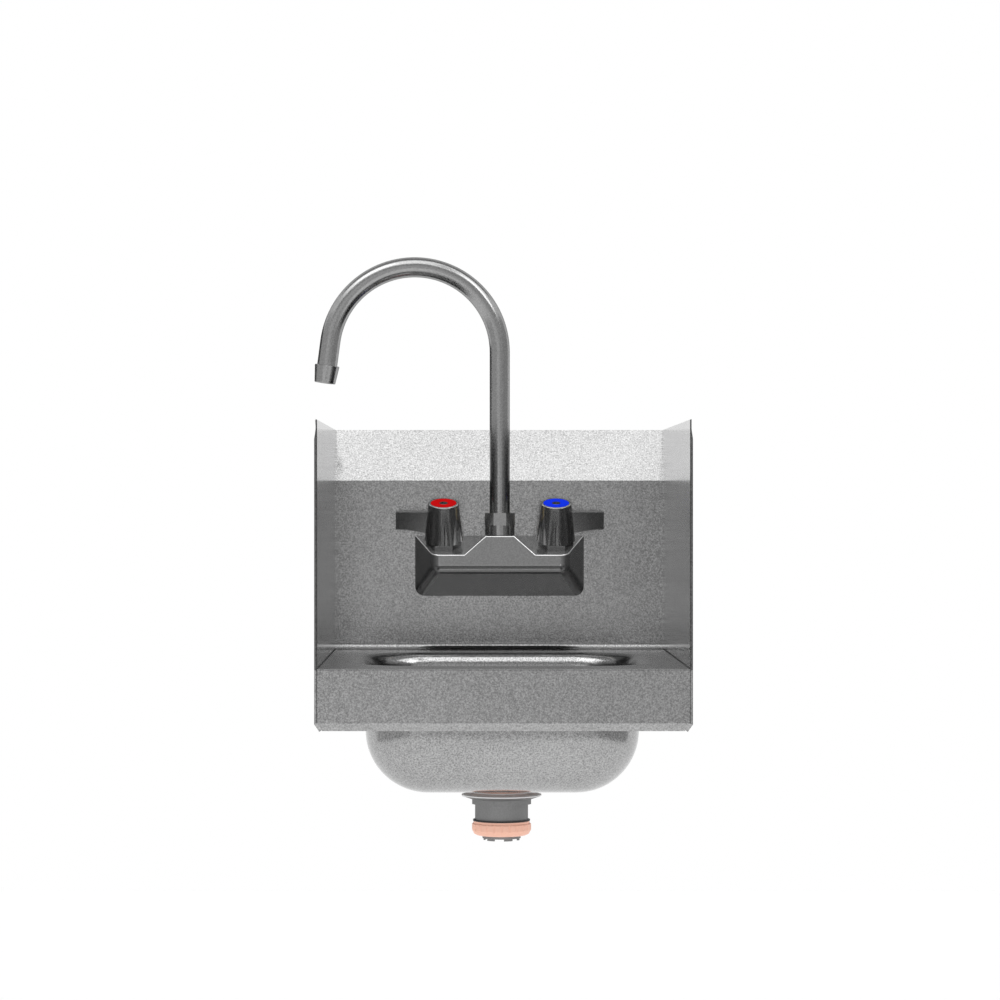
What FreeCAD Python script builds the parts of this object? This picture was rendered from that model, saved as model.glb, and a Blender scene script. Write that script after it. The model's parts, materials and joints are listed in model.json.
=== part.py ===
import FreeCAD, Part
import math
import os
from types import SimpleNamespace

import Sketcher

# Wall-hung hand basin with side splashes and a wall-mounted swivel gooseneck faucet.
# Row frame: X to the right, Y into the wall, Z up, in millimetres.
# The origin is on the wall plane, in the middle of the hanging bracket's screw line.
# Sheet metal, faucet and drain are drawn from the deck's top face, which sits at deckLevel.


# A size is a number together with the sheet expression that gives it


class Size:
    def __init__(self, number, text):
        self.number = float(number)
        self.text = text

    def __add__(self, other):
        other = asSize(other)
        return Size(self.number + other.number, f"({self.text} + {other.text})")

    def __sub__(self, other):
        other = asSize(other)
        return Size(self.number - other.number, f"({self.text} - {other.text})")

    def __mul__(self, other):
        other = asSize(other)
        return Size(self.number * other.number, f"({self.text} * {other.text})")

    def __truediv__(self, other):
        other = asSize(other)
        return Size(self.number / other.number, f"({self.text} / {other.text})")

    def __neg__(self):
        return Size(-self.number, f"(-1 * {self.text})")


def asSize(value):
    return value if isinstance(value, Size) else Size(value, repr(float(value)))


def sine(angle):
    return Size(math.sin(math.radians(angle.number)), f"sin({angle.text})")


def cosine(angle):
    return Size(math.cos(math.radians(angle.number)), f"cos({angle.text})")


def tangent(angle):
    return Size(math.tan(math.radians(angle.number)), f"tan({angle.text})")


zero = Size(0, "0")
towardsWall = Size(-90, "-90")  # turns a piece's Z axis to the wall

# Driving sizes

sheetMetalSizes = {
    "sheetGauge": 1.2,  # stainless sheet of the deck, splashes and bowl
    "basinWidth": 304.8,  # over both side splashes
    "basinDepth": 387.0,  # apron face to wall
    "apronHeight": 44.5,  # deck to the bend of the lip
    "lipHeight": 6.0,  # the turned-in lip below the apron
    "lipAngle": 32.0,  # its lean from the vertical
    "lipBend": 1.2,  # inner radius of that bend
    "apronBend": 0.3,  # inner radius between deck and apron
    "coveRadius": 6.35,  # between deck and backsplash
    "panelHeight": 153.6,  # deck to the kink of the backsplash
    "wallGap": 30.0,  # backsplash face to wall, where the supplies run
    "stripAngle": 32.5,  # lean of the top strip back to the wall
    "kinkBend": 2.0,
    "returnDrop": 24.0,  # flange that runs down the wall and hooks on the bracket
    "hemWidth": 12.0,  # folded edges of the side splashes
    "hemSetback": 8.0,  # front hem's end below the splash's top corner
    "hemTaper": 8.5,  # over which the front hem rises to its full thickness
    "topHemSetback": 15.0,  # top hem's end behind the splash's front corner
    "topHemMitre": 26.0,
    "foldRound": 1.0,
    "supplyHoleClearance": 1.0,
}

bowlSizes = {
    "bowlWidth": 228.6,
    "bowlLength": 228.6,
    "bowlDepth": 108.6,
    "bowlSetback": 166.3,  # apron face to the middle of the bowl
    "bowlBottomRadius": 52.0,
    "bowlCornerExtra": 2.0,  # plan corners are this much rounder than the bottom
    "rimFlare": 12.7,  # water-side radius of the rim
    "rimLand": 3.0,  # flat margin of the bowl that is welded into the deck
    "drainHoleClearance": 0.6,
}

bracketSizes = {
    "bracketWidth": 254.0,
    "bracketGauge": 1.9,
    "bracketDrop": 16.0,  # plate below the screw line
    "bracketRise": 14.0,  # plate above the screw line, up to the joggle
    "joggleRise": 3.0,
    "hookHeight": 13.0,
    "hookClearance": 0.3,
    "screwSpacing": 203.2,
    "screwHoleRadius": 3.5,
    "bracketCorner": 4.0,
}

faucetBodySizes = {
    "handleSpacing": 101.6,  # centre to centre, also of the inlets
    "bodyWidth": 154.1,  # on the backsplash
    "bodyFrontWidth": 121.3,
    "bodyProjection": 47.0,
    "bodyBottom": 48.5,  # above the deck, on the backsplash
    "bodyTop": 103.6,
    "bodyFrontBottom": 72.0,
    "bodyRound": 9.5,
    "bodyEdgeRound": 1.0,
    "topTilt": 20.0,  # the handles lean forward by this
    "bossTopWidth": 25.7,
    "bossFlank": 48.7,  # angle of the flanks from the vertical
    "valveSetback": 24.0,  # backsplash to where the handle axis meets the casting
    "spoutSetback": 27.0,  # backsplash to spout axis
    "neckRadius": 11.6,
    "neckHeight": 12.0,
    "spoutBoreRadius": 8.6,
    "spoutBoreDepth": 25.0,
    "mixingRadius": 5.5,
    "mixingDepth": 38.0,
    "crossPassageDrop": 24.0,
    "valveShoulder": 9.0,
    "valvePocketDepth": 24.0,
    "valvePocketRadius": 8.5,
    "bonnetThreadRadius": 10.4,
    "threadClearance": 0.1,
}

inletSizes = {
    "inletDrop": 34.6,  # body top to the inlet axis
    "shankRadius": 10.45,
    "shankBore": 7.2,
    "shankSocket": 8.0,
    "shankReach": 24.0,  # from the backsplash face towards the wall
    "shankRelief": 0.8,
    "shankReliefLength": 1.2,
    "shankWasherThickness": 1.5,
    "shankWasherRadius": 17.0,
    "locknutThickness": 5.0,
    "locknutFlats": 30.0,
    "passageRadius": 4.5,
    "feedDepth": 20.0,  # from the backsplash into the foot of the valve pocket
}

valveSizes = {
    "bonnetFlats": 27.4,
    "bonnetHeight": 5.0,
    "bonnetChamfer": 0.8,
    "stemRadius": 3.9,
    "stemClearance": 0.1,
    "stemReach": 33.0,  # above the casting
    "driverRadius": 6.2,
    "driverThickness": 1.6,
    "discRadius": 6.2,
    "discThickness": 2.0,
    "discGap": 0.05,
    "discPortRadius": 1.7,
    "discPortOffset": 3.4,
    "cartridgeFlange": 1.5,
    "cartridgeWall": 1.6,
    "sealThickness": 3.7,
    "sealBore": 4.4,
    "cartridgeClearance": 0.1,
}

handleSizes = {
    "hubBase": 5.5,  # above the casting
    "hubTop": 40.9,
    "hubBaseRadius": 17.4,
    "hubTopRadius": 13.65,
    "scallopDistance": 15.4,  # axis of the hub to the deepest line of a scallop
    "scallopRadius": 7.5,
    "scallopHeight": 24.0,
    "hubHollowRadius": 12.4,
    "hubHollowHeight": 14.5,
    "hubBossRadius": 7.0,
    "hubTopRound": 0.8,
    "leverReach": 43.2,
    "leverThickness": 4.2,
    "leverTop": 32.6,
    "leverTipBottom": 16.1,
    "leverRootBottom": 12.0,
    "leverStraight": 10.0,
    "leverCurve": 30.0,
    "indexRadius": 11.6,
    "indexThickness": 1.2,
    "indexSeatClearance": 0.1,
    "indexHoleRadius": 3.9,
    "screwHeadRadius": 3.75,
    "screwHeadHeight": 2.6,
    "screwShankRadius": 2.0,
    "screwShankLength": 10.0,
    "screwClearance": 0.05,
}

spoutSizes = {
    "tubeRadius": 9.15,
    "tubeWall": 1.2,
    "gooseneckStart": 269.7,  # above the deck
    "gooseneckRadius": 77.0,
    "gooseneckSweep": 172.5,
    "gooseneckTail": 31.0,
    "collarLap": 9.0,  # how far the collar reaches up the tube
    "collarLength": 16.3,
    "collarTopRadius": 11.25,
    "collarTipRadius": 9.45,
    "collarLedge": 1.4,
    "fitClearance": 0.1,
    "insertRadius": 7.9,
    "insertThickness": 4.0,
    "insertHoleRadius": 1.1,
    "insertHoleCircle": 4.6,
    "aeratorWasherThickness": 1.5,
    "nutGap": 0.8,  # boss to swivel nut
    "nutHeight": 19.8,
    "nutSkirtHeight": 8.6,
    "nutFlats": 27.2,
    "nutSkirtRadius": 13.4,
    "nutCap": 4.8,
    "sleeveFlangeRadius": 10.8,
    "sleeveFlangeThickness": 2.5,
    "sleeveRunningClearance": 0.05,
    "sleeveLift": 0.2,
    "sleeveSpigot": 9.0,
    "sleeveBore": 6.0,
    "sleeveDepth": 23.0,
    "ringGrooveWidth": 2.2,
    "ringGrooveDepth": 1.5,
    "ringSectionRadius": 0.7,
    "ringPitch": 8.0,
    "ringFirstDrop": 6.0,
    "thrustWasherThickness": 1.0,
}

drainSizes = {
    "barrelRadius": 22.65,
    "barrelBore": 20.4,
    "barrelLength": 37.4,  # below the bowl's underside
    "strainerFlangeRadius": 38.0,
    "strainerFlangeEdge": 0.8,
    "strainerFlangeCrown": 2.0,
    "strainerCrownRadius": 34.0,
    "strainerCrownWidth": 2.5,
    "strainerMouthRadius": 23.0,
    "strainerMouthRise": 1.4,
    "strainerDishDepth": 1.6,
    "strainerLedge": 1.2,
    "strainerPlateThickness": 1.2,
    "strainerHoleRadius": 1.9,
    "strainerInnerCircle": 7.2,
    "strainerOuterCircle": 14.4,
    "gasketOuterRadius": 24.6,
    "gasketThickness": 4.5,
    "drainClearance": 0.1,
    "saucerRadius": 34.15,
    "saucerDrop": 2.6,
    "saucerEdge": 1.0,
    "saucerNeckDrop": 6.4,
    "saucerSeatRadius": 23.8,  # raised seat that presses on the gasket
    "saucerSeatHeight": 1.1,
    "locknutHubRadius": 26.1,
    "locknutLength": 10.4,
    "lugNotchWidth": 14.0,
    "lugNotchHeight": 4.0,
    "slipRingRadius": 24.4,
    "slipRingThickness": 1.2,
    "slipNutRadius": 25.25,
    "slipNutLength": 12.2,
    "slipNutFloor": 3.6,
    "slipNutTipRadius": 20.8,
    "slipNutTipRise": 1.2,
    "slipNutShoulderRadius": 23.4,
    "slipNutTaperRise": 4.6,
    "slipNutCollarRadius": 24.0,
    "slipNutCollarHeight": 2.2,
    "slipNutFluteRadius": 1.3,
    "slipNutFluteDepth": 0.45,
    "slipWasherThickness": 0.8,
    "tailRadius": 16.3,
    "tailBore": 13.5,
    "tailRise": 24.0,
    "tailDrop": 2.6,  # below the slip nut
    "tailFlangeRadius": 18.9,
    "tailFlangeThickness": 1.4,
    "crownRadius": 15.4,
    "crownBore": 13.8,
    "crownHeight": 1.7,
    "crownNotchWidth": 8.0,
    "crownTurn": 22.0,  # where its first notch stands, round from X
}

sizeGroups = (
    sheetMetalSizes,
    bowlSizes,
    bracketSizes,
    faucetBodySizes,
    inletSizes,
    valveSizes,
    handleSizes,
    spoutSizes,
    drainSizes,
)

# Counts and tolerances that are not lengths of the object

scallopCount = 6
insertHoleCount = 6
strainerInnerCount = 6
strainerOuterCount = 12
slipNutFluteCount = 24
lugCount = 4
crownToothCount = 6
cutOverrun = 5.0  # every cut that opens a face reaches this far past it
nearEnough = 0.001  # two places closer than this are the same place

doc = FreeCAD.newDocument("HandBasin")
sheet = doc.addObject("Spreadsheet::Sheet", "Sizes")


def fillSheet():
    row = 1
    values = {"cutOverrun": cutOverrun}
    for group in sizeGroups:
        values.update(group)
    for name, number in values.items():
        sheet.set(f"A{row}", name)
        sheet.set(f"B{row}", str(number))
        sheet.setAlias(f"B{row}", name)
        row += 1
    doc.recompute()
    return SimpleNamespace(**{name: Size(number, f"Sizes.{name}") for name, number in values.items()})


d = fillSheet()

# Places that several pieces share, measured from the deck's top face

insideHalf = d.basinWidth / 2 - d.sheetGauge * 2
front = -d.basinDepth
panel = -d.wallGap
lipRun = d.lipHeight * tangent(d.lipAngle)
lipTip = -(d.apronHeight + d.lipHeight)
splashTop = d.panelHeight + d.wallGap / tangent(d.stripAngle)
bowlMiddle = front + d.bowlSetback
bowlCorner = d.bowlBottomRadius + d.bowlCornerExtra
rimMargin = d.rimFlare - d.sheetGauge + d.rimLand
hookSeat = d.bracketRise + d.joggleRise + d.hookClearance
deckLevel = hookSeat - (splashTop - d.returnDrop)
handleX = d.handleSpacing / 2
valveFoot = d.bodyTop - d.valveSetback * tangent(d.topTilt)
inletHeight = d.bodyTop - d.inletDrop
spoutY = panel - d.spoutSetback
neckTop = d.bodyTop + d.neckHeight
barrelEnd = -(d.bowlDepth + d.barrelLength)
slipNutTop = barrelEnd + d.slipNutLength - d.slipNutFloor - d.slipWasherThickness
slipNutFoot = slipNutTop - d.slipNutLength
bowlFloor = -(d.bowlDepth - d.sheetGauge)
shoulderDepth = -d.valveShoulder


# Small helpers that draw, pad, cut and round


def newBody(label):
    body = doc.addObject("PartDesign::Body", label)
    body.Label = label
    return body


def sketchOn(body, role, x=zero, y=zero, lift=zero, tilt=None):
    """A sketch on one of the body's origin planes, shifted in the plane and along its normal."""
    plane = [item for item in body.Origin.OriginFeatures if item.Role == role][0]
    sketch = body.newObject("Sketcher::SketchObject", "Sketch")
    sketch.AttachmentSupport = (plane, [""])
    sketch.MapMode = "FlatFace"
    turn = FreeCAD.Rotation()
    if tilt is not None:
        turn = FreeCAD.Rotation(FreeCAD.Vector(1, 0, 0), tilt.number)
    sketch.AttachmentOffset = FreeCAD.Placement(FreeCAD.Vector(x.number, y.number, lift.number), turn)
    for name, size in (("x", x), ("y", y), ("z", lift)):
        if size is not zero:
            sketch.setExpression(f"AttachmentOffset.Base.{name}", size.text)
    if tilt is not None:
        sketch.setExpression("AttachmentOffset.Rotation.Angle", tilt.text)
    return sketch


def holdPoint(sketch, geometry, vertex, x, y):
    for kind, size, axis in (("DistanceX", x, -2), ("DistanceY", y, -1)):
        if size is zero:
            sketch.addConstraint(Sketcher.Constraint("PointOnObject", geometry, vertex, axis))
            continue
        held = Sketcher.Constraint(kind, -1, 1, geometry, vertex, size.number)
        index = sketch.addConstraint(held)
        sketch.setExpression(f"Constraints[{index}]", size.text)


def outline(sketch, points):
    """A closed outline through (x, y) corners, each held by the sheet."""
    first = sketch.GeometryCount
    count = len(points)
    spots = [FreeCAD.Vector(x.number, y.number, 0) for x, y in points]
    for index, spot in enumerate(spots):
        sketch.addGeometry(Part.LineSegment(spot, spots[(index + 1) % count]), False)
    for index in range(count):
        following = first + (index + 1) % count
        sketch.addConstraint(Sketcher.Constraint("Coincident", first + index, 2, following, 1))
    for index, (x, y) in enumerate(points):
        holdPoint(sketch, first + index, 1, x, y)


def block(sketch, left, right, bottom, top):
    outline(sketch, [(left, bottom), (right, bottom), (right, top), (left, top)])


def roundedBlock(sketch, halfX, halfY, middleY, corner):
    """A rectangle about (0, middleY) whose corners are arcs of one radius."""
    places = []
    for index, (acrossSign, upSign) in enumerate(((1, 1), (-1, 1), (-1, -1), (1, -1))):
        x = (halfX - corner) * acrossSign
        y = middleY + (halfY - corner) * upSign
        centre = FreeCAD.Vector(x.number, y.number, 0)
        start = math.pi / 2 * index
        bend = Part.Circle(centre, FreeCAD.Vector(0, 0, 1), corner.number)
        arc = sketch.addGeometry(Part.ArcOfCircle(bend, start, start + math.pi / 2), False)
        holdPoint(sketch, arc, 3, x, y)
        held = sketch.addConstraint(Sketcher.Constraint("Radius", arc, corner.number))
        sketch.setExpression(f"Constraints[{held}]", corner.text)
        places.append(arc)
    for index, arc in enumerate(places):
        following = places[(index + 1) % len(places)]
        start = sketch.getPoint(arc, 2)
        end = sketch.getPoint(following, 1)
        line = sketch.addGeometry(Part.LineSegment(start, end), False)
        sketch.addConstraint(Sketcher.Constraint("Tangent", arc, 2, line, 1))
        sketch.addConstraint(Sketcher.Constraint("Tangent", line, 2, following, 1))


def circle(sketch, radius, x=zero, y=zero):
    centre = FreeCAD.Vector(x.number, y.number, 0)
    shape = Part.Circle(centre, FreeCAD.Vector(0, 0, 1), radius.number)
    geometry = sketch.addGeometry(shape, False)
    holdPoint(sketch, geometry, 3, x, y)
    index = sketch.addConstraint(Sketcher.Constraint("Radius", geometry, radius.number))
    sketch.setExpression(f"Constraints[{index}]", radius.text)


def turnedPoint(turn, reach, across):
    """A point this far out along a line that is turned from X, and this far across it."""
    x = reach * cosine(turn) - across * sine(turn)
    y = reach * sine(turn) + across * cosine(turn)
    return (x, y)


def evenPolygon(sketch, flats, count):
    """A regular polygon of that width across flats, with a flat towards -Y."""
    corner = flats / 2 / math.cos(math.pi / count)
    points = []
    for index in range(count):
        turn = 2 * math.pi * (index + 0.5) / count - math.pi / 2
        points.append((corner * math.cos(turn), corner * math.sin(turn)))
    outline(sketch, points)


def pad(body, sketch, length, reverse=False, symmetric=False):
    feature = body.newObject("PartDesign::Pad", "Pad")
    feature.Profile = sketch
    feature.Length = length.number
    feature.setExpression("Length", length.text)
    feature.Reversed = reverse
    if symmetric:
        feature.SideType = "Symmetric"
    return finished(body, feature)


def pocket(body, sketch, length, reverse=False, symmetric=False):
    """A cut against the sketch's normal, or along it if reversed. It has to remove something."""
    before = body.Shape.Volume
    feature = body.newObject("PartDesign::Pocket", "Pocket")
    feature.Profile = sketch
    feature.Length = length.number
    feature.setExpression("Length", length.text)
    feature.Reversed = reverse
    if symmetric:
        feature.SideType = "Symmetric"
    finished(body, feature)
    if body.Shape.Volume > before - nearEnough:
        raise RuntimeError(f"{body.Label}: {feature.Name} cuts nothing")
    return feature


def revolve(body, sketch):
    feature = body.newObject("PartDesign::Revolution", "Revolution")
    feature.Profile = sketch
    feature.ReferenceAxis = (sketch, ["V_Axis"])
    feature.Angle = 360
    return finished(body, feature)


def groove(body, sketch):
    before = body.Shape.Volume
    feature = body.newObject("PartDesign::Groove", "Groove")
    feature.Profile = sketch
    feature.ReferenceAxis = (sketch, ["V_Axis"])
    feature.Angle = 360
    finished(body, feature)
    if body.Shape.Volume > before - nearEnough:
        raise RuntimeError(f"{body.Label}: {feature.Name} cuts nothing")
    return feature


def repeatRound(body, feature, sketch, count):
    """Copies a pad or pocket about the normal through the sketch's origin."""
    pattern = body.newObject("PartDesign::PolarPattern", "PolarPattern")
    pattern.Originals = [feature]
    pattern.Axis = (sketch, ["N_Axis"])
    pattern.Angle = 360
    pattern.Occurrences = count
    body.Tip = pattern
    return finished(body, pattern)


def finished(body, feature):
    doc.recompute()
    if "Invalid" in feature.State or "Error" in feature.State or feature.Shape.isNull():
        raise RuntimeError(f"{body.Label}: {feature.Name} failed, {feature.State}")
    return feature


def edgeNames(feature, test):
    return [f"Edge{number}" for number, edge in enumerate(feature.Shape.Edges, 1) if test(edge)]


def roundEdges(body, radius, test, kind="Fillet"):
    """Rounds, or bevels, the edges of the body's tip that pass the test."""
    base = body.Tip
    names = edgeNames(base, test)
    if not names:
        raise RuntimeError(f"{body.Label}: no edge to round after {base.Name}")
    feature = body.newObject(f"PartDesign::{kind}", kind)
    feature.Base = (base, names)
    prop = "Radius" if kind == "Fillet" else "Size"
    setattr(feature, prop, radius.number)
    feature.setExpression(prop, radius.text)
    return finished(body, feature)


def same(one, other):
    return abs(one - other) < nearEnough


def along(axis, *places):
    """Edges parallel to an axis that pass one of these places, given in the two other axes."""
    across = [index for index in range(3) if index != "XYZ".index(axis)]

    def test(edge):
        ends = [vertex.Point for vertex in edge.Vertexes]
        if len(ends) != 2:
            return False
        for place in places:
            if all(same(end[across[k]], place[k].number) for end in ends for k in (0, 1)):
                return True
        return False

    return test


def atHeight(height, reach=None):
    """Edges that lie flat at a height, and if reach is given no further out than that."""

    def test(edge):
        box = edge.BoundBox
        flat = same(box.ZMin, height.number) and same(box.ZMax, height.number)
        furthest = max(box.XMax, -box.XMin, box.YMax, -box.YMin)
        return flat and (reach is None or furthest < reach.number + nearEnough)

    return test


def circleAt(radius, height):
    """Full circles of a radius at a height."""

    def test(edge):
        box = edge.BoundBox
        if len(edge.Vertexes) != 1 or not same(box.ZMin, height.number):
            return False
        return same(box.ZMax, height.number) and same(box.XMax, radius.number)

    return test


def place(item, x=zero, y=zero, z=zero, turnAxis=None, turn=None):
    """Puts a piece in the row frame; z is measured from the deck's top face."""
    z = z + deckLevel
    rotation = FreeCAD.Rotation()
    if turnAxis is not None:
        rotation = FreeCAD.Rotation(FreeCAD.Vector(*turnAxis), turn.number)
    item.Placement = FreeCAD.Placement(FreeCAD.Vector(x.number, y.number, z.number), rotation)
    for name, size in (("x", x), ("y", y), ("z", z)):
        if size is not zero:
            item.setExpression(f"Placement.Base.{name}", size.text)
    if turnAxis is not None:
        item.setExpression("Placement.Rotation.Angle", turn.text)
    return item


def turned(label, points):
    """A piece turned about its own Z axis from (radius, height) points."""
    body = newBody(label)
    sketch = sketchOn(body, "XZ_Plane")
    outline(sketch, points)
    revolve(body, sketch)
    return body


def ring(label, inner, outer, thickness):
    """A flat ring that stands on its own XY plane."""
    hole = doc.addObject("Part::Cylinder", label + "_hole")
    rim = doc.addObject("Part::Cylinder", label + "_rim")
    for item, radius in ((hole, inner), (rim, outer)):
        item.setExpression("Radius", radius.text)
        item.setExpression("Height", thickness.text)
    made = doc.addObject("Part::Cut", label)
    made.Label = label
    made.Base = rim
    made.Tool = hole
    doc.recompute()
    return made


def pairAcross(label, item):
    """A piece and its mirror image across the basin's middle plane, as one node of two solids."""
    twin = doc.addObject("Part::Mirroring", label + "_twin")
    twin.Source = item
    twin.Normal = FreeCAD.Vector(1, 0, 0)
    pair = doc.addObject("Part::Compound", label)
    pair.Label = label
    pair.Links = [item, twin]
    doc.recompute()
    return pair


# Sheet metal


def basinTop():
    """Lip, apron, deck, backsplash, sloped strip and wall return, bent from one sheet."""
    body = newBody("basin_top")
    gauge = d.sheetGauge
    inner = panel + gauge
    lipCorner = gauge * tangent(d.lipAngle / 2)
    stripCorner = gauge * tangent(d.stripAngle / 2)
    section = sketchOn(body, "YZ_Plane")
    outline(
        section,
        [
            (front + lipRun, lipTip),
            (front, -d.apronHeight),
            (front, zero),
            (panel, zero),
            (panel, d.panelHeight),
            (zero, splashTop),
            (zero, splashTop - d.returnDrop),
            (-gauge, splashTop - d.returnDrop),
            (-gauge, splashTop - gauge / tangent(d.stripAngle / 2)),
            (inner, d.panelHeight - stripCorner),
            (inner, -gauge),
            (front + gauge, -gauge),
            (front + gauge, lipCorner - d.apronHeight),
            (front + lipRun + gauge * cosine(d.lipAngle), lipTip + gauge * sine(d.lipAngle)),
        ],
    )
    pad(body, section, insideHalf * 2, symmetric=True)
    roundEdges(body, d.apronBend + gauge, along("X", (front, zero)))
    roundEdges(body, d.apronBend, along("X", (front + gauge, -gauge)))
    roundEdges(body, d.coveRadius, along("X", (panel, zero)))
    roundEdges(body, d.coveRadius + gauge, along("X", (inner, -gauge)))
    roundEdges(body, d.kinkBend + gauge, along("X", (panel, d.panelHeight)))
    roundEdges(body, d.kinkBend, along("X", (inner, d.panelHeight - stripCorner)))
    roundEdges(body, d.lipBend + gauge, along("X", (front, -d.apronHeight)))
    roundEdges(body, d.lipBend, along("X", (front + gauge, lipCorner - d.apronHeight)))

    opening = sketchOn(body, "XY_Plane")
    halfX = d.bowlWidth / 2 + rimMargin
    halfY = d.bowlLength / 2 + rimMargin
    roundedBlock(opening, halfX, halfY, bowlMiddle, bowlCorner + rimMargin)
    pocket(body, opening, gauge + d.cutOverrun)

    holes = sketchOn(body, "XZ_Plane", lift=d.wallGap)
    for x in (-handleX, handleX):
        circle(holes, d.shankRadius + d.supplyHoleClearance, x, inletHeight)
    pocket(body, holes, d.cutOverrun * 2, symmetric=True)

    mitreRun = lipRun + lipCorner * tangent(d.lipAngle)
    for side in (-1, 1):
        mitre = sketchOn(body, "XZ_Plane", lift=d.basinDepth)
        edge = insideHalf * side
        outline(
            mitre,
            [
                (edge, lipCorner - d.apronHeight),
                (edge + d.cutOverrun * side, lipCorner - d.apronHeight),
                (edge + d.cutOverrun * side, lipTip - d.cutOverrun),
                (edge - mitreRun * side, lipTip - d.cutOverrun),
                (edge - mitreRun * side, lipTip),
            ],
        )
        pocket(body, mitre, (lipRun + d.cutOverrun) * 2, symmetric=True)
    return place(body)


def sideSplash(label, side):
    """A full side panel with its turned-in lip and the hems folded out along its front and top."""
    body = newBody(label)
    gauge = d.sheetGauge
    outer = insideHalf + gauge
    section = sketchOn(body, "XZ_Plane")
    outline(
        section,
        [
            (insideHalf * side, splashTop),
            (outer * side, splashTop),
            (outer * side, -d.apronHeight),
            ((outer - lipRun) * side, lipTip),
            ((outer - lipRun - gauge * cosine(d.lipAngle)) * side, lipTip + gauge * sine(d.lipAngle)),
            (insideHalf * side, gauge * tangent(d.lipAngle / 2) - d.apronHeight),
        ],
    )
    pad(body, section, d.basinDepth)

    hem = d.hemWidth
    notch = d.hemSetback
    frontHem = sketchOn(body, "YZ_Plane", lift=outer * side)
    outline(
        frontHem,
        [
            (front, -d.apronHeight),
            (front + hem, -d.apronHeight),
            (front + hem, splashTop - notch - hem),
            (front, splashTop - notch),
        ],
    )
    pad(body, frontHem, gauge, reverse=side < 0)
    lipHem = sketchOn(body, "XZ_Plane", lift=d.basinDepth)
    hemBend = -(d.apronHeight + gauge * tangent(d.lipAngle / 2))
    outline(
        lipHem,
        [
            (outer * side, -d.apronHeight),
            ((outer + gauge) * side, -d.apronHeight),
            ((outer + gauge) * side, hemBend),
            ((outer - lipRun + gauge * cosine(d.lipAngle)) * side, lipTip - gauge * sine(d.lipAngle)),
            ((outer - lipRun) * side, lipTip),
        ],
    )
    pad(body, lipHem, hem, reverse=True)
    topHem = sketchOn(body, "YZ_Plane", lift=outer * side)
    outline(
        topHem,
        [
            (front + d.topHemSetback, splashTop),
            (front + d.topHemSetback + d.topHemMitre, splashTop - hem),
            (zero, splashTop - hem),
            (zero, splashTop),
        ],
    )
    pad(body, topHem, gauge, reverse=side < 0)
    hemFace = (outer + gauge) * side
    roundEdges(body, d.foldRound, along("Z", (insideHalf * side, front), (hemFace, front)))
    roundEdges(body, d.foldRound, along("Y", (insideHalf * side, splashTop), (hemFace, splashTop)))

    taper = sketchOn(body, "XZ_Plane", lift=d.basinDepth)
    hemEnd = splashTop - notch
    outline(
        taper,
        [
            (outer * side, hemEnd),
            (hemFace, hemEnd - d.hemTaper),
            (hemFace + d.cutOverrun * side, hemEnd - d.hemTaper),
            (hemFace + d.cutOverrun * side, hemEnd),
        ],
    )
    pocket(body, taper, hem * 2, symmetric=True)

    mitre = sketchOn(body, "YZ_Plane", lift=insideHalf * side)
    outline(
        mitre,
        [
            (front - d.cutOverrun, -d.apronHeight),
            (front, -d.apronHeight),
            (front + lipRun, lipTip),
            (front + lipRun, lipTip - d.cutOverrun),
            (front - d.cutOverrun, lipTip - d.cutOverrun),
        ],
    )
    pocket(body, mitre, (lipRun + d.cutOverrun) * 2, symmetric=True)
    return place(body)


def bowl():
    """The deep-drawn bowl with its rolled rim and the flat margin that is welded into the deck."""
    body = newBody("bowl")
    gauge = d.sheetGauge
    halfX = d.bowlWidth / 2
    halfY = d.bowlLength / 2

    def rectangle(margin):
        sketch = sketchOn(body, "XY_Plane")
        roundedBlock(sketch, halfX + margin, halfY + margin, zero, bowlCorner + margin)
        return sketch

    pad(body, rectangle(zero), d.bowlDepth, reverse=True)
    pad(body, rectangle(rimMargin), gauge, reverse=True)
    roundEdges(body, d.rimFlare - gauge, atHeight(-gauge, halfX))
    pocket(body, rectangle(-gauge), d.bowlDepth - gauge)
    roundEdges(body, d.bowlBottomRadius - gauge, atHeight(bowlFloor))
    roundEdges(body, d.rimFlare, atHeight(zero, halfX))
    roundEdges(body, d.bowlBottomRadius, atHeight(-d.bowlDepth))
    drain = sketchOn(body, "XY_Plane")
    circle(drain, d.barrelRadius + d.drainHoleClearance)
    pocket(body, drain, d.bowlDepth + d.cutOverrun)
    return place(body, y=bowlMiddle)


def wallBracket():
    """A strip screwed to the wall, joggled forward into a hook for the basin's wall return."""
    body = newBody("wall_bracket")
    thick = d.bracketGauge
    standoff = d.sheetGauge + d.hookClearance
    joggleTop = d.bracketRise + d.joggleRise
    hookTop = joggleTop + d.hookHeight
    section = sketchOn(body, "YZ_Plane")
    outline(
        section,
        [
            (zero, -d.bracketDrop),
            (zero, d.bracketRise),
            (-standoff, joggleTop),
            (-standoff, hookTop),
            (-standoff - thick, hookTop),
            (-standoff - thick, joggleTop),
            (-thick, d.bracketRise),
            (-thick, -d.bracketDrop),
        ],
    )
    pad(body, section, d.bracketWidth, symmetric=True)
    ends = [d.bracketWidth / 2, -d.bracketWidth / 2]
    roundEdges(body, d.bracketCorner, along("Y", *[(end, -d.bracketDrop) for end in ends]))
    roundEdges(body, d.bracketCorner, along("Y", *[(end, hookTop) for end in ends]))
    holes = sketchOn(body, "XZ_Plane")
    for x in (d.screwSpacing / 2, -d.screwSpacing / 2):
        circle(holes, d.screwHoleRadius, x)
    pocket(body, holes, (thick + d.cutOverrun) * 2, symmetric=True)
    return place(body, z=-deckLevel)


# Faucet casting and its supplies


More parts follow.
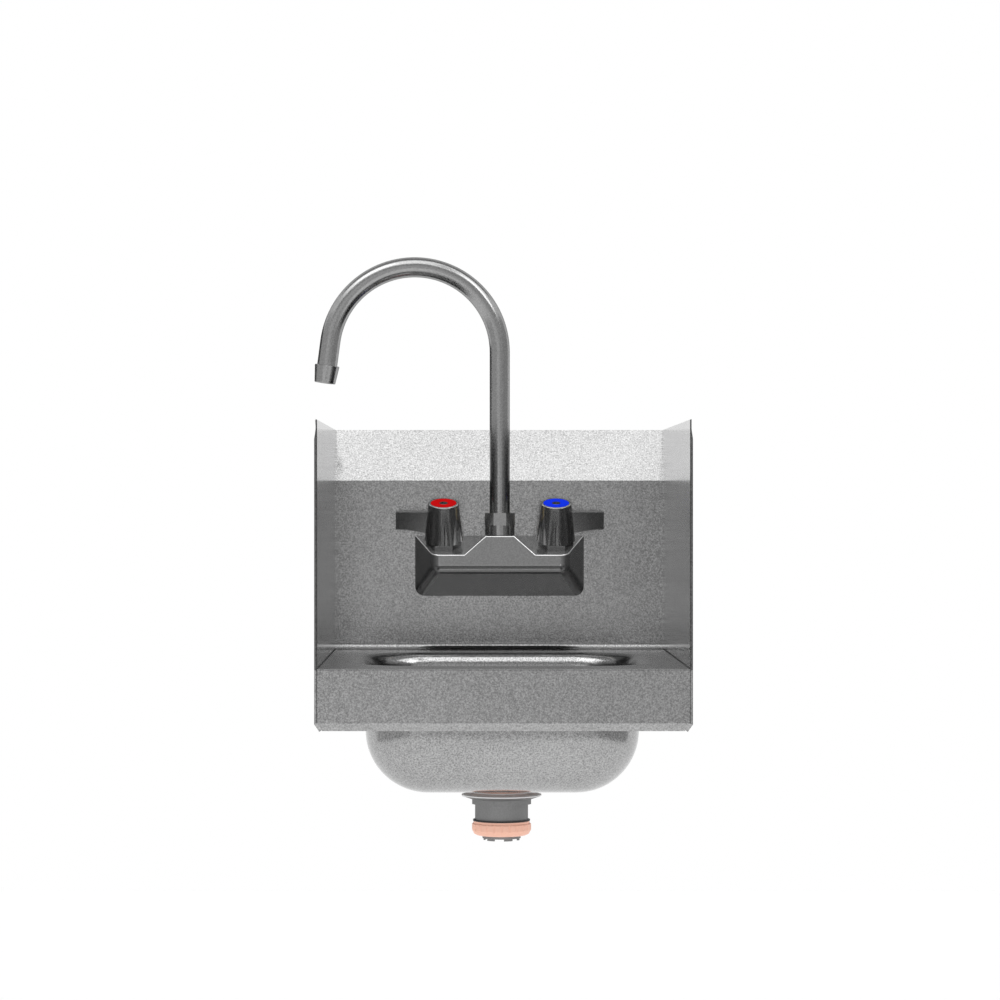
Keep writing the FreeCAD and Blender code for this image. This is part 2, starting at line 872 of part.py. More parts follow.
def castingBoss(frontTop):
    """The boss across the casting: its foot is inside the wedge, its front is flush with the nose."""
    body = newBody("casting_boss")
    foot = frontTop - d.bodyEdgeRound * 4
    halfTop = d.bossTopWidth / 2
    halfFoot = halfTop + (d.bodyTop - foot) * tangent(d.bossFlank)
    section = sketchOn(body, "XZ_Plane", lift=d.wallGap)
    outline(
        section,
        [
            (-halfTop, d.bodyTop),
            (halfTop, d.bodyTop),
            (halfFoot, foot),
            (-halfFoot, foot),
        ],
    )
    pad(body, section, d.bodyProjection)
    noseY = panel - d.bodyProjection

    def frontEdge(edge):
        ends = [vertex.Point for vertex in edge.Vertexes]
        onTop = [same(end.z, d.bodyTop.number) for end in ends]
        onNose = [same(end.y, noseY.number) for end in ends]
        return any(onTop) and any(onNose)

    roundEdges(body, d.bodyEdgeRound, frontEdge)
    return body


def faucetBody():
    """The cast body: a tapered wedge on the backsplash, a raised middle boss and the spout's neck."""
    body = newBody("faucet_body")
    frontTop = d.bodyTop - d.bodyProjection * tangent(d.topTilt)
    rear = sketchOn(body, "XZ_Plane", lift=d.wallGap)
    block(rear, -d.bodyWidth / 2, d.bodyWidth / 2, d.bodyBottom, d.bodyTop)
    nose = sketchOn(body, "XZ_Plane", lift=d.wallGap + d.bodyProjection)
    block(nose, -d.bodyFrontWidth / 2, d.bodyFrontWidth / 2, d.bodyFrontBottom, frontTop)
    wedge = body.newObject("PartDesign::AdditiveLoft", "Wedge")
    wedge.Profile = rear
    wedge.Sections = [nose]
    wedge.Ruled = True
    finished(body, wedge)

    noseY = panel - d.bodyProjection

    def undersideEdge(edge):
        ends = [vertex.Point for vertex in edge.Vertexes]
        middle = (ends[0] + ends[1]) * 0.5
        onRear = all(same(end.y, panel.number) for end in ends)
        onTop = middle.z > (frontTop.number + d.bodyFrontBottom.number) / 2
        upright = not same(ends[0].z, ends[1].z) and all(same(end.y, noseY.number) for end in ends)
        return not onRear and (upright or not onTop)

    roundEdges(body, d.bodyRound, undersideEdge)

    def slopeEdge(edge):
        ends = [vertex.Point for vertex in edge.Vertexes]
        slope = math.tan(math.radians(d.topTilt.number))
        onSlope = all(same(end.z, d.bodyTop.number - (panel.number - end.y) * slope) for end in ends)
        return onSlope and not all(same(end.y, panel.number) for end in ends)

    roundEdges(body, d.bodyEdgeRound, slopeEdge)

    join = body.newObject("PartDesign::Boolean", "Boss")
    join.setObjects([castingBoss(frontTop)])
    join.Type = "Fuse"
    finished(body, join)

    neck = sketchOn(body, "XY_Plane", y=spoutY, lift=d.bodyTop)
    circle(neck, d.neckRadius)
    pad(body, neck, d.neckHeight)

    for radius, depth in ((d.spoutBoreRadius, d.spoutBoreDepth), (d.mixingRadius, d.mixingDepth)):
        bore = sketchOn(body, "XY_Plane", y=spoutY, lift=neckTop)
        circle(bore, radius)
        pocket(body, bore, depth)

    valveY = panel - d.valveSetback
    for x in (-handleX, handleX):
        for radius, depth in (
            (d.bonnetThreadRadius + d.threadClearance, d.valveShoulder),
            (d.valvePocketRadius, d.valvePocketDepth),
        ):
            seat = sketchOn(body, "XY_Plane", x, valveY, valveFoot, d.topTilt)
            circle(seat, radius)
            pocket(body, seat, depth)
        socket = sketchOn(body, "XZ_Plane", x, inletHeight, d.wallGap)
        circle(socket, d.shankRadius + d.threadClearance)
        pocket(body, socket, d.shankSocket, reverse=True)
        feed = sketchOn(body, "XZ_Plane", x, inletHeight, d.wallGap)
        circle(feed, d.passageRadius)
        pocket(body, feed, d.feedDepth, reverse=True)

    passage = sketchOn(body, "YZ_Plane")
    circle(passage, d.passageRadius, spoutY, d.bodyTop - d.crossPassageDrop)
    pocket(body, passage, d.handleSpacing, symmetric=True)
    return place(body)


def inletShank(label, x):
    """A threaded supply nipple, screwed into the casting and out through the backsplash."""
    bore = d.shankBore
    outer = d.shankRadius
    slim = outer - d.shankRelief
    nutEnd = d.sheetGauge + d.shankWasherThickness + d.locknutThickness + d.threadClearance
    reliefEnd = nutEnd + d.shankReliefLength
    points = [
        (bore, -d.shankSocket),
        (outer, -d.shankSocket),
        (outer, nutEnd),
        (slim, nutEnd),
        (slim, reliefEnd),
        (outer, reliefEnd),
        (outer, d.shankReach - d.shankRelief),
        (slim, d.shankReach),
        (bore, d.shankReach),
    ]
    body = turned(label, points)
    return place(body, x, panel, inletHeight, (1, 0, 0), towardsWall)


def shankWashers():
    washer = ring(
        "shank_washer",
        d.shankRadius + d.threadClearance * 2,
        d.shankWasherRadius,
        d.shankWasherThickness,
    )
    place(washer, handleX, panel + d.sheetGauge, inletHeight, (1, 0, 0), towardsWall)
    return pairAcross("shank_washers", washer)


def shankLocknuts():
    nut = newBody("shank_locknut")
    face = sketchOn(nut, "XY_Plane")
    evenPolygon(face, d.locknutFlats, 6)
    circle(face, d.shankRadius + d.threadClearance)
    pad(nut, face, d.locknutThickness)
    seat = panel + d.sheetGauge + d.shankWasherThickness
    place(nut, handleX, seat, inletHeight, (1, 0, 0), towardsWall)
    return pairAcross("shank_locknuts", nut)


# Valves, drawn along the handle's own axis, from where it meets the casting


def onValve(item, x):
    return place(item, x, panel - d.valveSetback, valveFoot, (1, 0, 0), d.topTilt)


def bonnet(label, x):
    """The hexagonal bonnet that is screwed over the cartridge."""
    body = newBody(label)
    head = sketchOn(body, "XY_Plane")
    evenPolygon(head, d.bonnetFlats, 6)
    pad(body, head, d.bonnetHeight)
    roundEdges(body, d.bonnetChamfer, atHeight(d.bonnetHeight), "Chamfer")
    thread = sketchOn(body, "XY_Plane")
    circle(thread, d.bonnetThreadRadius)
    pad(body, thread, d.valveShoulder - d.cartridgeFlange - d.cartridgeClearance, reverse=True)
    bore = sketchOn(body, "XY_Plane", lift=d.bonnetHeight)
    circle(bore, d.stemRadius + d.stemClearance)
    pocket(body, bore, d.bonnetHeight + d.valveShoulder)
    return onValve(body, x)


# Heights inside the cartridge, downwards from the casting's top face

sealTop = -(d.valvePocketDepth - d.sealThickness)
fixedDiscTop = sealTop + d.discGap + d.discThickness
movingDiscFoot = fixedDiscTop + d.discGap
driverFoot = movingDiscFoot + d.discThickness + d.discGap
driverTop = driverFoot + d.driverThickness


def cartridge(label, x):
    """The cartridge's housing: a flanged cup that guides the stem and holds the discs."""
    outer = d.valvePocketRadius - d.cartridgeClearance
    flange = d.bonnetThreadRadius - d.cartridgeClearance
    chamber = outer - d.cartridgeWall
    guide = d.stemRadius + d.stemClearance
    chamberTop = driverTop + d.discGap * 2
    points = [
        (guide, shoulderDepth + d.cartridgeFlange),
        (flange, shoulderDepth + d.cartridgeFlange),
        (flange, shoulderDepth),
        (outer, shoulderDepth),
        (outer, sealTop),
        (chamber, sealTop),
        (chamber, chamberTop),
        (guide, chamberTop),
    ]
    return onValve(turned(label, points), x)


def disc(label, x, foot, portRadius):
    """A ceramic disc with two ports opposite each other."""
    body = newBody(label)
    face = sketchOn(body, "XY_Plane", lift=foot)
    circle(face, d.discRadius)
    for offset in (d.discPortOffset, -d.discPortOffset):
        circle(face, portRadius, zero, offset)
    pad(body, face, d.discThickness)
    return onValve(body, x)


def seatSeal(label, x):
    seal = ring(label, d.sealBore, d.discRadius, d.sealThickness)
    place(seal, x, panel - d.valveSetback, valveFoot, (1, 0, 0), d.topTilt)
    shift = -d.valvePocketDepth
    seal.setExpression("Placement.Base.y", (panel - d.valveSetback - shift * sine(d.topTilt)).text)
    seal.setExpression("Placement.Base.z", (valveFoot + deckLevel + shift * cosine(d.topTilt)).text)
    return seal


def stem(label, x):
    """The turning stem, with the driver that carries the upper disc and a tapped top."""
    tapped = d.screwShankRadius + d.screwClearance
    tappedDepth = d.stemReach - d.screwShankLength
    points = [
        (zero, driverFoot),
        (d.driverRadius, driverFoot),
        (d.driverRadius, driverTop),
        (d.stemRadius, driverTop),
        (d.stemRadius, d.stemReach),
        (tapped, d.stemReach),
        (tapped, tappedDepth),
        (zero, tappedDepth),
    ]
    return onValve(turned(label, points), x)


# Handles


def handle(label, x, side):
    """Conical hub with scallops round its foot and a flat lever that points outwards."""
    body = newBody(label)
    indexSeat = d.hubTop - d.indexThickness
    screwSeat = indexSeat - d.screwHeadHeight + d.indexThickness
    hollowTop = d.hubBase + d.hubHollowHeight
    socket = d.stemRadius + d.screwClearance
    section = sketchOn(body, "XZ_Plane")
    outline(
        section,
        [
            (d.screwShankRadius + d.screwClearance * 2, screwSeat),
            (d.screwHeadRadius + d.screwClearance, screwSeat),
            (d.screwHeadRadius + d.screwClearance, indexSeat),
            (d.indexRadius + d.indexSeatClearance, indexSeat),
            (d.indexRadius + d.indexSeatClearance, d.hubTop),
            (d.hubTopRadius, d.hubTop),
            (d.hubBaseRadius, d.hubBase),
            (d.hubHollowRadius, d.hubBase),
            (d.hubHollowRadius, hollowTop),
            (d.hubBossRadius, hollowTop),
            (d.hubBossRadius, d.hubBase),
            (socket, d.hubBase),
            (socket, d.stemReach + d.screwClearance),
            (d.screwShankRadius + d.screwClearance * 2, d.stemReach + d.screwClearance),
        ],
    )
    revolve(body, section)
    roundEdges(body, d.hubTopRound, circleAt(d.hubTopRadius, d.hubTop))

    scallop = sketchOn(body, "XY_Plane", lift=d.hubBase)
    circle(scallop, d.scallopRadius, y=-(d.scallopDistance + d.scallopRadius))
    cut = pocket(body, scallop, d.scallopHeight, reverse=True)
    repeatRound(body, cut, scallop, scallopCount)

    lever = sketchOn(body, "XZ_Plane")
    root = (d.hubHollowRadius + d.hubTopRadius) / 2
    outline(
        lever,
        [
            (root * side, d.leverTop),
            (d.leverReach * side, d.leverTop),
            (d.leverReach * side, d.leverTipBottom),
            ((d.leverReach - d.leverStraight) * side, d.leverTipBottom),
            (root * side, d.leverRootBottom),
        ],
    )
    pad(body, lever, d.leverThickness, symmetric=True)
    bend = ((d.leverReach - d.leverStraight) * side, d.leverTipBottom)
    roundEdges(body, d.leverCurve, along("Y", bend))
    return onValve(body, x)


def indexRing(label, x):
    """The coloured ring in the hub's top, round the head of the handle's screw."""
    seatHeight = d.hubTop - d.indexThickness
    points = [
        (d.indexHoleRadius, seatHeight),
        (d.indexRadius, seatHeight),
        (d.indexRadius, d.hubTop),
        (d.indexHoleRadius, d.hubTop),
    ]
    return onValve(turned(label, points), x)


def handleScrew(label, x):
    seat = d.hubTop - d.screwHeadHeight
    foot = d.stemReach - d.screwShankLength + d.screwClearance
    points = [
        (zero, foot),
        (d.screwShankRadius, foot),
        (d.screwShankRadius, seat),
        (d.screwHeadRadius, seat),
        (d.screwHeadRadius, d.hubTop),
        (zero, d.hubTop),
    ]
    return onValve(turned(label, points), x)


# Spout

sleeveFoot = neckTop + d.sleeveLift
tubeFoot = sleeveFoot + d.sleeveFlangeThickness
nutFoot = d.bodyTop + d.nutGap
nutTop = nutFoot + d.nutHeight
capFoot = nutTop - d.nutCap
collarTurn = -d.gooseneckSweep


def spoutNut():
    """The swivel nut: an octagon above a round skirt, threaded on the casting's neck."""
    body = newBody("spout_nut")
    skirt = sketchOn(body, "XY_Plane", lift=nutFoot)
    circle(skirt, d.nutSkirtRadius)
    pad(body, skirt, d.nutSkirtHeight)
    flats = sketchOn(body, "XY_Plane", lift=nutFoot + d.nutSkirtHeight)
    evenPolygon(flats, d.nutFlats, 8)
    pad(body, flats, d.nutHeight - d.nutSkirtHeight)
    thread = sketchOn(body, "XY_Plane", lift=nutFoot)
    circle(thread, d.neckRadius + d.threadClearance)
    pocket(body, thread, capFoot - nutFoot, reverse=True)
    throat = sketchOn(body, "XY_Plane", lift=nutFoot)
    circle(throat, d.tubeRadius + d.fitClearance)
    pocket(body, throat, d.nutHeight + d.cutOverrun, reverse=True)
    return place(body, y=spoutY)


def spoutThrustWasher():
    bottom = capFoot - d.thrustWasherThickness
    washer = ring(
        "spout_thrust_washer",
        d.tubeRadius + d.fitClearance,
        d.neckRadius,
        d.thrustWasherThickness,
    )
    return place(washer, y=spoutY, z=bottom)


def ringHeights():
    first = neckTop - d.ringFirstDrop
    return (first, first - d.ringPitch)


def spoutSleeve():
    """The spout's turned end: a spigot in the tube, a flange under the nut and two ring grooves."""
    outer = d.spoutBoreRadius - d.sleeveRunningClearance
    spigot = d.tubeRadius - d.tubeWall - d.fitClearance
    body = turned(
        "spout_sleeve",
        [
            (d.sleeveBore, sleeveFoot - d.sleeveDepth),
            (outer, sleeveFoot - d.sleeveDepth),
            (outer, sleeveFoot),
            (d.sleeveFlangeRadius, sleeveFoot),
            (d.sleeveFlangeRadius, tubeFoot),
            (spigot, tubeFoot),
            (spigot, tubeFoot + d.sleeveSpigot),
            (d.sleeveBore, tubeFoot + d.sleeveSpigot),
        ],
    )
    for height in ringHeights():
        cut = sketchOn(body, "XZ_Plane")
        half = d.ringGrooveWidth / 2
        block(cut, outer - d.ringGrooveDepth, outer + d.cutOverrun, height - half, height + half)
        groove(body, cut)
    return place(body, y=spoutY)


def spoutRings():
    """The two sealing rings in the sleeve's grooves."""
    made = []
    outer = d.spoutBoreRadius - d.sleeveRunningClearance
    for height in ringHeights():
        item = doc.addObject("Part::Torus", "sealing_ring")
        item.setExpression("Radius1", (outer - d.ringSectionRadius).text)
        item.setExpression("Radius2", d.ringSectionRadius.text)
        place(item, y=spoutY, z=height)
        made.append(item)
    pair = doc.addObject("Part::Compound", "spout_o_rings")
    pair.Label = "spout_o_rings"
    pair.Links = made
    doc.recompute()
    return pair


def spoutTube():
    """The gooseneck: one bent tube, straight up, round the arc and straight down to the outlet."""
    body = newBody("spout_tube")
    radius = d.gooseneckRadius
    sweep = d.gooseneckSweep
    arcEndX = radius * cosine(sweep) - radius
    arcEndZ = d.gooseneckStart + radius * sine(sweep)
    tailX = arcEndX - d.gooseneckTail * sine(sweep)
    tailZ = arcEndZ + d.gooseneckTail * cosine(sweep)
    path = sketchOn(body, "XZ_Plane")
    foot = FreeCAD.Vector(0, tubeFoot.number, 0)
    rise = FreeCAD.Vector(0, d.gooseneckStart.number, 0)
    bendEnd = FreeCAD.Vector(arcEndX.number, arcEndZ.number, 0)
    tip = FreeCAD.Vector(tailX.number, tailZ.number, 0)
    centre = FreeCAD.Vector(-radius.number, d.gooseneckStart.number, 0)
    bend = Part.Circle(centre, FreeCAD.Vector(0, 0, 1), radius.number)
    path.addGeometry(Part.LineSegment(foot, rise), False)
    path.addGeometry(Part.ArcOfCircle(bend, 0, math.radians(sweep.number)), False)
    path.addGeometry(Part.LineSegment(bendEnd, tip), False)
    path.addConstraint(Sketcher.Constraint("Coincident", 0, 2, 1, 1))
    path.addConstraint(Sketcher.Constraint("Coincident", 1, 2, 2, 1))
    holdPoint(path, 0, 1, zero, tubeFoot)
    holdPoint(path, 0, 2, zero, d.gooseneckStart)
    holdPoint(path, 1, 3, -radius, d.gooseneckStart)
    index = path.addConstraint(Sketcher.Constraint("DistanceY", -1, 1, 1, 2, arcEndZ.number))
    path.setExpression(f"Constraints[{index}]", arcEndZ.text)
    holdPoint(path, 2, 2, tailX, tailZ)
    end = sketchOn(body, "XY_Plane", lift=tubeFoot)
    circle(end, d.tubeRadius)
    circle(end, d.tubeRadius - d.tubeWall)
    pipe = body.newObject("PartDesign::AdditivePipe", "Pipe")
    pipe.Profile = end
    pipe.Spine = (path, ["Edge1", "Edge2", "Edge3"])
    finished(body, pipe)
    return place(body, y=spoutY)


def atOutlet(item, below):
    """Places a piece on the outlet's axis, this far beyond the collar's upper end."""
    radius = d.gooseneckRadius
    sweep = d.gooseneckSweep
    run = d.gooseneckTail - d.collarLap + below
    x = radius * cosine(sweep) - radius - run * sine(sweep)
    z = d.gooseneckStart + radius * sine(sweep) + run * cosine(sweep)
    return place(item, x, spoutY, z, (0, 1, 0), collarTurn)


def aeratorCollar():
    """The tapered outlet collar, screwed on the tube's end and holding the aerator."""
    throat = d.tubeRadius + d.fitClearance
    lip = d.insertRadius - d.collarLedge
    taper = (d.collarTopRadius - d.collarTipRadius) / d.collarLength
    edge = d.foldRound / 2
    points = [
        (throat, zero),
        (d.collarTopRadius - edge, zero),
        (d.collarTopRadius - taper * edge, edge),
        (d.collarTipRadius + taper * edge, d.collarLength - edge),
        (d.collarTipRadius - edge, d.collarLength),
        (lip, d.collarLength),
        (lip, d.collarLength - d.collarLedge),
        (d.insertRadius + d.fitClearance, d.collarLength - d.collarLedge),
        (d.insertRadius + d.fitClearance, d.collarLap + d.fitClearance),
        (throat, d.collarLap + d.fitClearance),
    ]
    return atOutlet(turned("aerator_collar", points), zero)


def aeratorInsert():
    """The flow insert: a short plug pierced by a ring of holes round one in the middle."""
    body = newBody("aerator_insert")
    face = sketchOn(body, "XY_Plane")
    circle(face, d.insertRadius)
    pad(body, face, d.insertThickness)
    middle = sketchOn(body, "XY_Plane")
    circle(middle, d.insertHoleRadius)
    pocket(body, middle, d.insertThickness + d.cutOverrun, reverse=True)
    hole = sketchOn(body, "XY_Plane")
    circle(hole, d.insertHoleRadius, d.insertHoleCircle)
    cut = pocket(body, hole, d.insertThickness + d.cutOverrun, reverse=True)
    repeatRound(body, cut, hole, insertHoleCount)
    return atOutlet(body, d.collarLength - d.collarLedge - d.insertThickness)


def aeratorWasher():
    made = ring(
        "aerator_washer",
        d.sleeveBore,
        d.insertRadius,
        d.aeratorWasherThickness,
    )
    lift = d.collarLength - d.collarLedge - d.insertThickness - d.aeratorWasherThickness
    return atOutlet(made, lift)


# Drain, turned about the bowl's middle


def onDrain(item, z=zero):
    return place(item, y=bowlMiddle, z=z)


def strainerBody():
    """The drain's throat: a crowned flange in the bowl, a dished mouth and the threaded barrel."""
    dishFoot = bowlFloor - d.strainerDishDepth
    ledge = dishFoot - d.strainerPlateThickness - d.drainClearance
    narrow = d.barrelBore - d.strainerLedge
    points = [
        (d.barrelRadius, barrelEnd),
        (d.barrelRadius, bowlFloor),
        (d.strainerFlangeRadius, bowlFloor),
        (d.strainerFlangeRadius, bowlFloor + d.strainerFlangeEdge),
        (d.strainerCrownRadius, bowlFloor + d.strainerFlangeCrown),
        (d.strainerCrownRadius - d.strainerCrownWidth, bowlFloor + d.strainerFlangeCrown),
        (d.strainerMouthRadius, bowlFloor + d.strainerMouthRise),
        (d.barrelBore, dishFoot),
        (d.barrelBore, ledge),
        (narrow, ledge),
        (narrow, barrelEnd),
    ]
    return onDrain(turned("strainer_body", points))


def strainerPlate():
    """The fixed perforated plate, seated on the ledge in the drain's throat."""
    body = newBody("strainer_plate")
    face = sketchOn(body, "XY_Plane")
    circle(face, d.barrelBore - d.drainClearance)
    pad(body, face, d.strainerPlateThickness)
    middle = sketchOn(body, "XY_Plane")
    circle(middle, d.strainerHoleRadius)
    pocket(body, middle, d.strainerPlateThickness + d.cutOverrun, reverse=True)
    for reach, count in (
        (d.strainerInnerCircle, strainerInnerCount),
        (d.strainerOuterCircle, strainerOuterCount),
    ):
        hole = sketchOn(body, "XY_Plane")
        circle(hole, d.strainerHoleRadius, reach)
        cut = pocket(body, hole, d.strainerPlateThickness + d.cutOverrun, reverse=True)
        repeatRound(body, cut, hole, count)
    return onDrain(body, bowlFloor - d.strainerDishDepth - d.strainerPlateThickness - d.drainClearance)


def drainGasket():
    made = ring(
        "drain_gasket",
        d.barrelRadius + d.drainClearance,
        d.gasketOuterRadius,
        d.gasketThickness,
    )
    return onDrain(made, -(d.bowlDepth + d.gasketThickness))


def drainLocknut():
    """The saucer-shaped clamping nut under the bowl, with notches between its wrench lugs."""
    top = -(d.bowlDepth + d.gasketThickness)
    inner = d.barrelRadius + d.drainClearance
    rimTop = top - d.saucerDrop
    foot = top - d.locknutLength
    points = [
        (inner, foot),
        (d.locknutHubRadius, foot),
        (d.locknutHubRadius, top - d.saucerNeckDrop),
        (d.saucerRadius, rimTop - d.saucerEdge),
        (d.saucerRadius, rimTop),
        (d.gasketOuterRadius, top - d.saucerSeatHeight),
        (d.saucerSeatRadius, top - d.saucerSeatHeight),
        (d.saucerSeatRadius, top),
        (inner, top),
    ]
    body = turned("drain_locknut", points)
    notch = sketchOn(body, "XY_Plane", lift=foot)
    middle = (d.barrelRadius + d.locknutHubRadius) / 2
    half = d.lugNotchWidth / 2
    block(notch, -half, half, middle, d.locknutHubRadius + d.cutOverrun)
    cut = pocket(body, notch, d.lugNotchHeight, reverse=True)
    repeatRound(body, cut, notch, lugCount)
    return onDrain(body)


def slipRing():
    made = ring(
        "slip_ring",
        d.barrelRadius + d.drainClearance,
        d.slipRingRadius,
        d.slipRingThickness,
    )
    return onDrain(made, slipNutTop)


def slipNut():
    """The fluted slip nut, threaded on the barrel and drawing the tail sleeve up."""
    foot = slipNutFoot
    inner = d.barrelRadius + d.drainClearance
    collarFoot = slipNutTop - d.slipNutCollarHeight
    points = [
        (d.tailRadius + d.drainClearance, foot),
        (d.slipNutTipRadius, foot),
        (d.slipNutShoulderRadius, foot + d.slipNutTipRise),
        (d.slipNutRadius, foot + d.slipNutTaperRise),
        (d.slipNutRadius, collarFoot - d.foldRound / 2),
        (d.slipNutRadius - d.foldRound / 2, collarFoot),
        (d.slipNutCollarRadius, collarFoot),
        (d.slipNutCollarRadius, slipNutTop),
        (inner, slipNutTop),
        (inner, foot + d.slipNutFloor),
        (d.tailRadius + d.drainClearance, foot + d.slipNutFloor),
    ]
    body = turned("slip_nut", points)
    flute = sketchOn(body, "XY_Plane", lift=foot)
    reach = d.slipNutRadius + d.slipNutFluteRadius - d.slipNutFluteDepth
    circle(flute, d.slipNutFluteRadius, reach)
    cut = pocket(body, flute, d.slipNutLength + d.cutOverrun, reverse=True)
    repeatRound(body, cut, flute, slipNutFluteCount)
    return onDrain(body)


def slipWasher():
    made = ring(
        "slip_washer",
        d.tailRadius + d.drainClearance,
        d.barrelRadius,
        d.slipWasherThickness,
    )
    return onDrain(made, barrelEnd - d.slipWasherThickness)


def tailSleeve():
    """The outlet sleeve: flanged inside the barrel, with a crown of teeth at its lower end."""
    foot = slipNutFoot - d.tailDrop
    points = [
        (d.tailBore, foot),
        (d.tailRadius, foot),
        (d.tailRadius, barrelEnd),
        (d.tailFlangeRadius, barrelEnd),
        (d.tailFlangeRadius, barrelEnd + d.tailFlangeThickness),
        (d.tailRadius, barrelEnd + d.tailFlangeThickness),
        (d.tailRadius, foot + d.tailRise),
        (d.tailBore, foot + d.tailRise),
    ]
    body = turned("tail_sleeve", points)
    crown = sketchOn(body, "XY_Plane", lift=foot)
    circle(crown, d.crownRadius)
    circle(crown, d.crownBore)
    pad(body, crown, d.crownHeight, reverse=True)
    notch = sketchOn(body, "XY_Plane", lift=foot)
    half = d.crownNotchWidth / 2
    near = d.crownBore / 2
    far = d.crownRadius + d.cutOverrun
    corners = ((near, -half), (far, -half), (far, half), (near, half))
    outline(notch, [turnedPoint(d.crownTurn, reach, across) for reach, across in corners])
    cut = pocket(body, notch, d.crownHeight + d.cutOverrun)
    repeatRound(body, cut, notch, crownToothCount)
    return onDrain(body)


def buildAll():
    pieces = [
        basinTop(),
        sideSplash("left_side_splash", -1),
        sideSplash("right_side_splash", 1),
        bowl(),
        wallBracket(),
        faucetBody(),
        shankWashers(),
        shankLocknuts(),
    ]
    for name, x, side in (("hot", -handleX, -1), ("cold", handleX, 1)):
        pieces += [
            inletShank(name + "_inlet_shank", x),
            bonnet(name + "_bonnet", x),
            cartridge(name + "_cartridge", x),
            seatSeal(name + "_seat_seal", x),
            disc(name + "_fixed_disc", x, fixedDiscTop - d.discThickness, d.discPortRadius),
            disc(name + "_moving_disc", x, movingDiscFoot, d.discPortRadius),
            stem(name + "_stem", x),
            handle(name + "_handle", x, side),
            handleScrew(name + "_handle_screw", x),
            indexRing(name + "_index_ring", x),
        ]
    pieces += [
        spoutNut(),
        spoutThrustWasher(),
        spoutSleeve(),
        spoutRings(),
        spoutTube(),
        aeratorCollar(),
        aeratorInsert(),
        aeratorWasher(),
        strainerBody(),
        strainerPlate(),
        drainGasket(),
        drainLocknut(),
        slipRing(),
        slipNut(),
        slipWasher(),
        tailSleeve(),
    ]
    doc.recompute()
    return pieces


def checkAndExport(pieces):
    for item in doc.Objects:
        if "Invalid" in item.State or "Error" in item.State:
            raise RuntimeError(f"{item.Label} failed: {item.State}")
    for piece in pieces:
        if piece.Shape.isNull() or not piece.Shape.isValid():
            raise RuntimeError(f"{piece.Label} has no valid shape")
    os.makedirs("parts", exist_ok=True)
    for piece in pieces:
        piece.Shape.exportStep(f"parts/{piece.Label}.step")
        print(f"{piece.Label}: {len(piece.Shape.Solids)} solids, {piece.Shape.Volume:.0f} mm3")


checkAndExport(buildAll())
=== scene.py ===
import json
import math

import bmesh
import bpy
from mathutils import Matrix, Vector


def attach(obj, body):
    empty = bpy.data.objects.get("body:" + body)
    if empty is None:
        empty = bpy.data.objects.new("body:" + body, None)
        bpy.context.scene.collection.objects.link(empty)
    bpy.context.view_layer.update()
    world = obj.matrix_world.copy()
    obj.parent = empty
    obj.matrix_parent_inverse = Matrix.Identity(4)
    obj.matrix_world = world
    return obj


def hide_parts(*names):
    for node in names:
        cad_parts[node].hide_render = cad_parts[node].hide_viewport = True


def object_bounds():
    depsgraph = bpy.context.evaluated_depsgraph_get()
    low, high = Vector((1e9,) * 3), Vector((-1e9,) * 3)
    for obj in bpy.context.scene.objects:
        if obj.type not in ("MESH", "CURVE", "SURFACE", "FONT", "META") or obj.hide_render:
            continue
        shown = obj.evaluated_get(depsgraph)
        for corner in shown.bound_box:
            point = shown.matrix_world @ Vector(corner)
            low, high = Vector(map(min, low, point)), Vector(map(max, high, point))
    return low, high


# Wall-hung hand basin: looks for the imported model, in metres.
# X to the right, Y into the wall, Z up, origin on the wall at the bracket's screw line.

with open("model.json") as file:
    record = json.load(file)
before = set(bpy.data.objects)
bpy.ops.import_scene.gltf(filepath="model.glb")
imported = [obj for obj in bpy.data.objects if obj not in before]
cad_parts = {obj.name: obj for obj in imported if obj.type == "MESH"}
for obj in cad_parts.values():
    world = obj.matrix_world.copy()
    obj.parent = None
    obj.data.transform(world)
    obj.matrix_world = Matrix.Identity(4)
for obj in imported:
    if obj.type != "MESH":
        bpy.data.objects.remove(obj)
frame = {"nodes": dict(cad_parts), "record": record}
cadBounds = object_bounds()
nodes = frame["nodes"]
print("frame loaded:", len(nodes), "nodes")


# Small helpers

def deselectAll():
    for obj in list(bpy.context.selected_objects):
        obj.select_set(False)
    bpy.context.view_layer.objects.active = None


def makeActive(piece):
    deselectAll()
    piece.select_set(True)
    bpy.context.view_layer.objects.active = piece


def inRadians(degrees):
    return [math.radians(angle) for angle in degrees]


def newMaterial(name):
    material = bpy.data.materials.new(name)
    material.use_nodes = True
    shader = material.node_tree.nodes["Principled BSDF"]
    return material, material.node_tree, shader


def addNode(tree, kind, **values):
    node = tree.nodes.new(kind)
    for key, value in values.items():
        setattr(node, key, value)
    return node


def objectNoise(tree, scale, detail):
    coords = addNode(tree, "ShaderNodeTexCoord")
    noise = addNode(tree, "ShaderNodeTexNoise")
    noise.inputs["Scale"].default_value = scale
    noise.inputs["Detail"].default_value = detail
    tree.links.new(coords.outputs["Object"], noise.inputs["Vector"])
    return noise


noiseRange = (0.25, 0.75)  # most of a noise's values lie in here


def spread(tree, source, low, high, fromLow=noiseRange[0], fromHigh=noiseRange[1]):
    remap = addNode(tree, "ShaderNodeMapRange")
    remap.inputs["From Min"].default_value = fromLow
    remap.inputs["From Max"].default_value = fromHigh
    remap.inputs["To Min"].default_value = low
    remap.inputs["To Max"].default_value = high
    tree.links.new(source, remap.inputs["Value"])
    return remap.outputs["Result"]


def multiply(tree, first, second):
    product = addNode(tree, "ShaderNodeMath", operation="MULTIPLY")
    tree.links.new(first, product.inputs[0])
    tree.links.new(second, product.inputs[1])
    return product.outputs[0]


def between(tree, source, rise, fall):
    return multiply(tree, spread(tree, source, 0, 1, *rise), spread(tree, source, 1, 0, *fall))


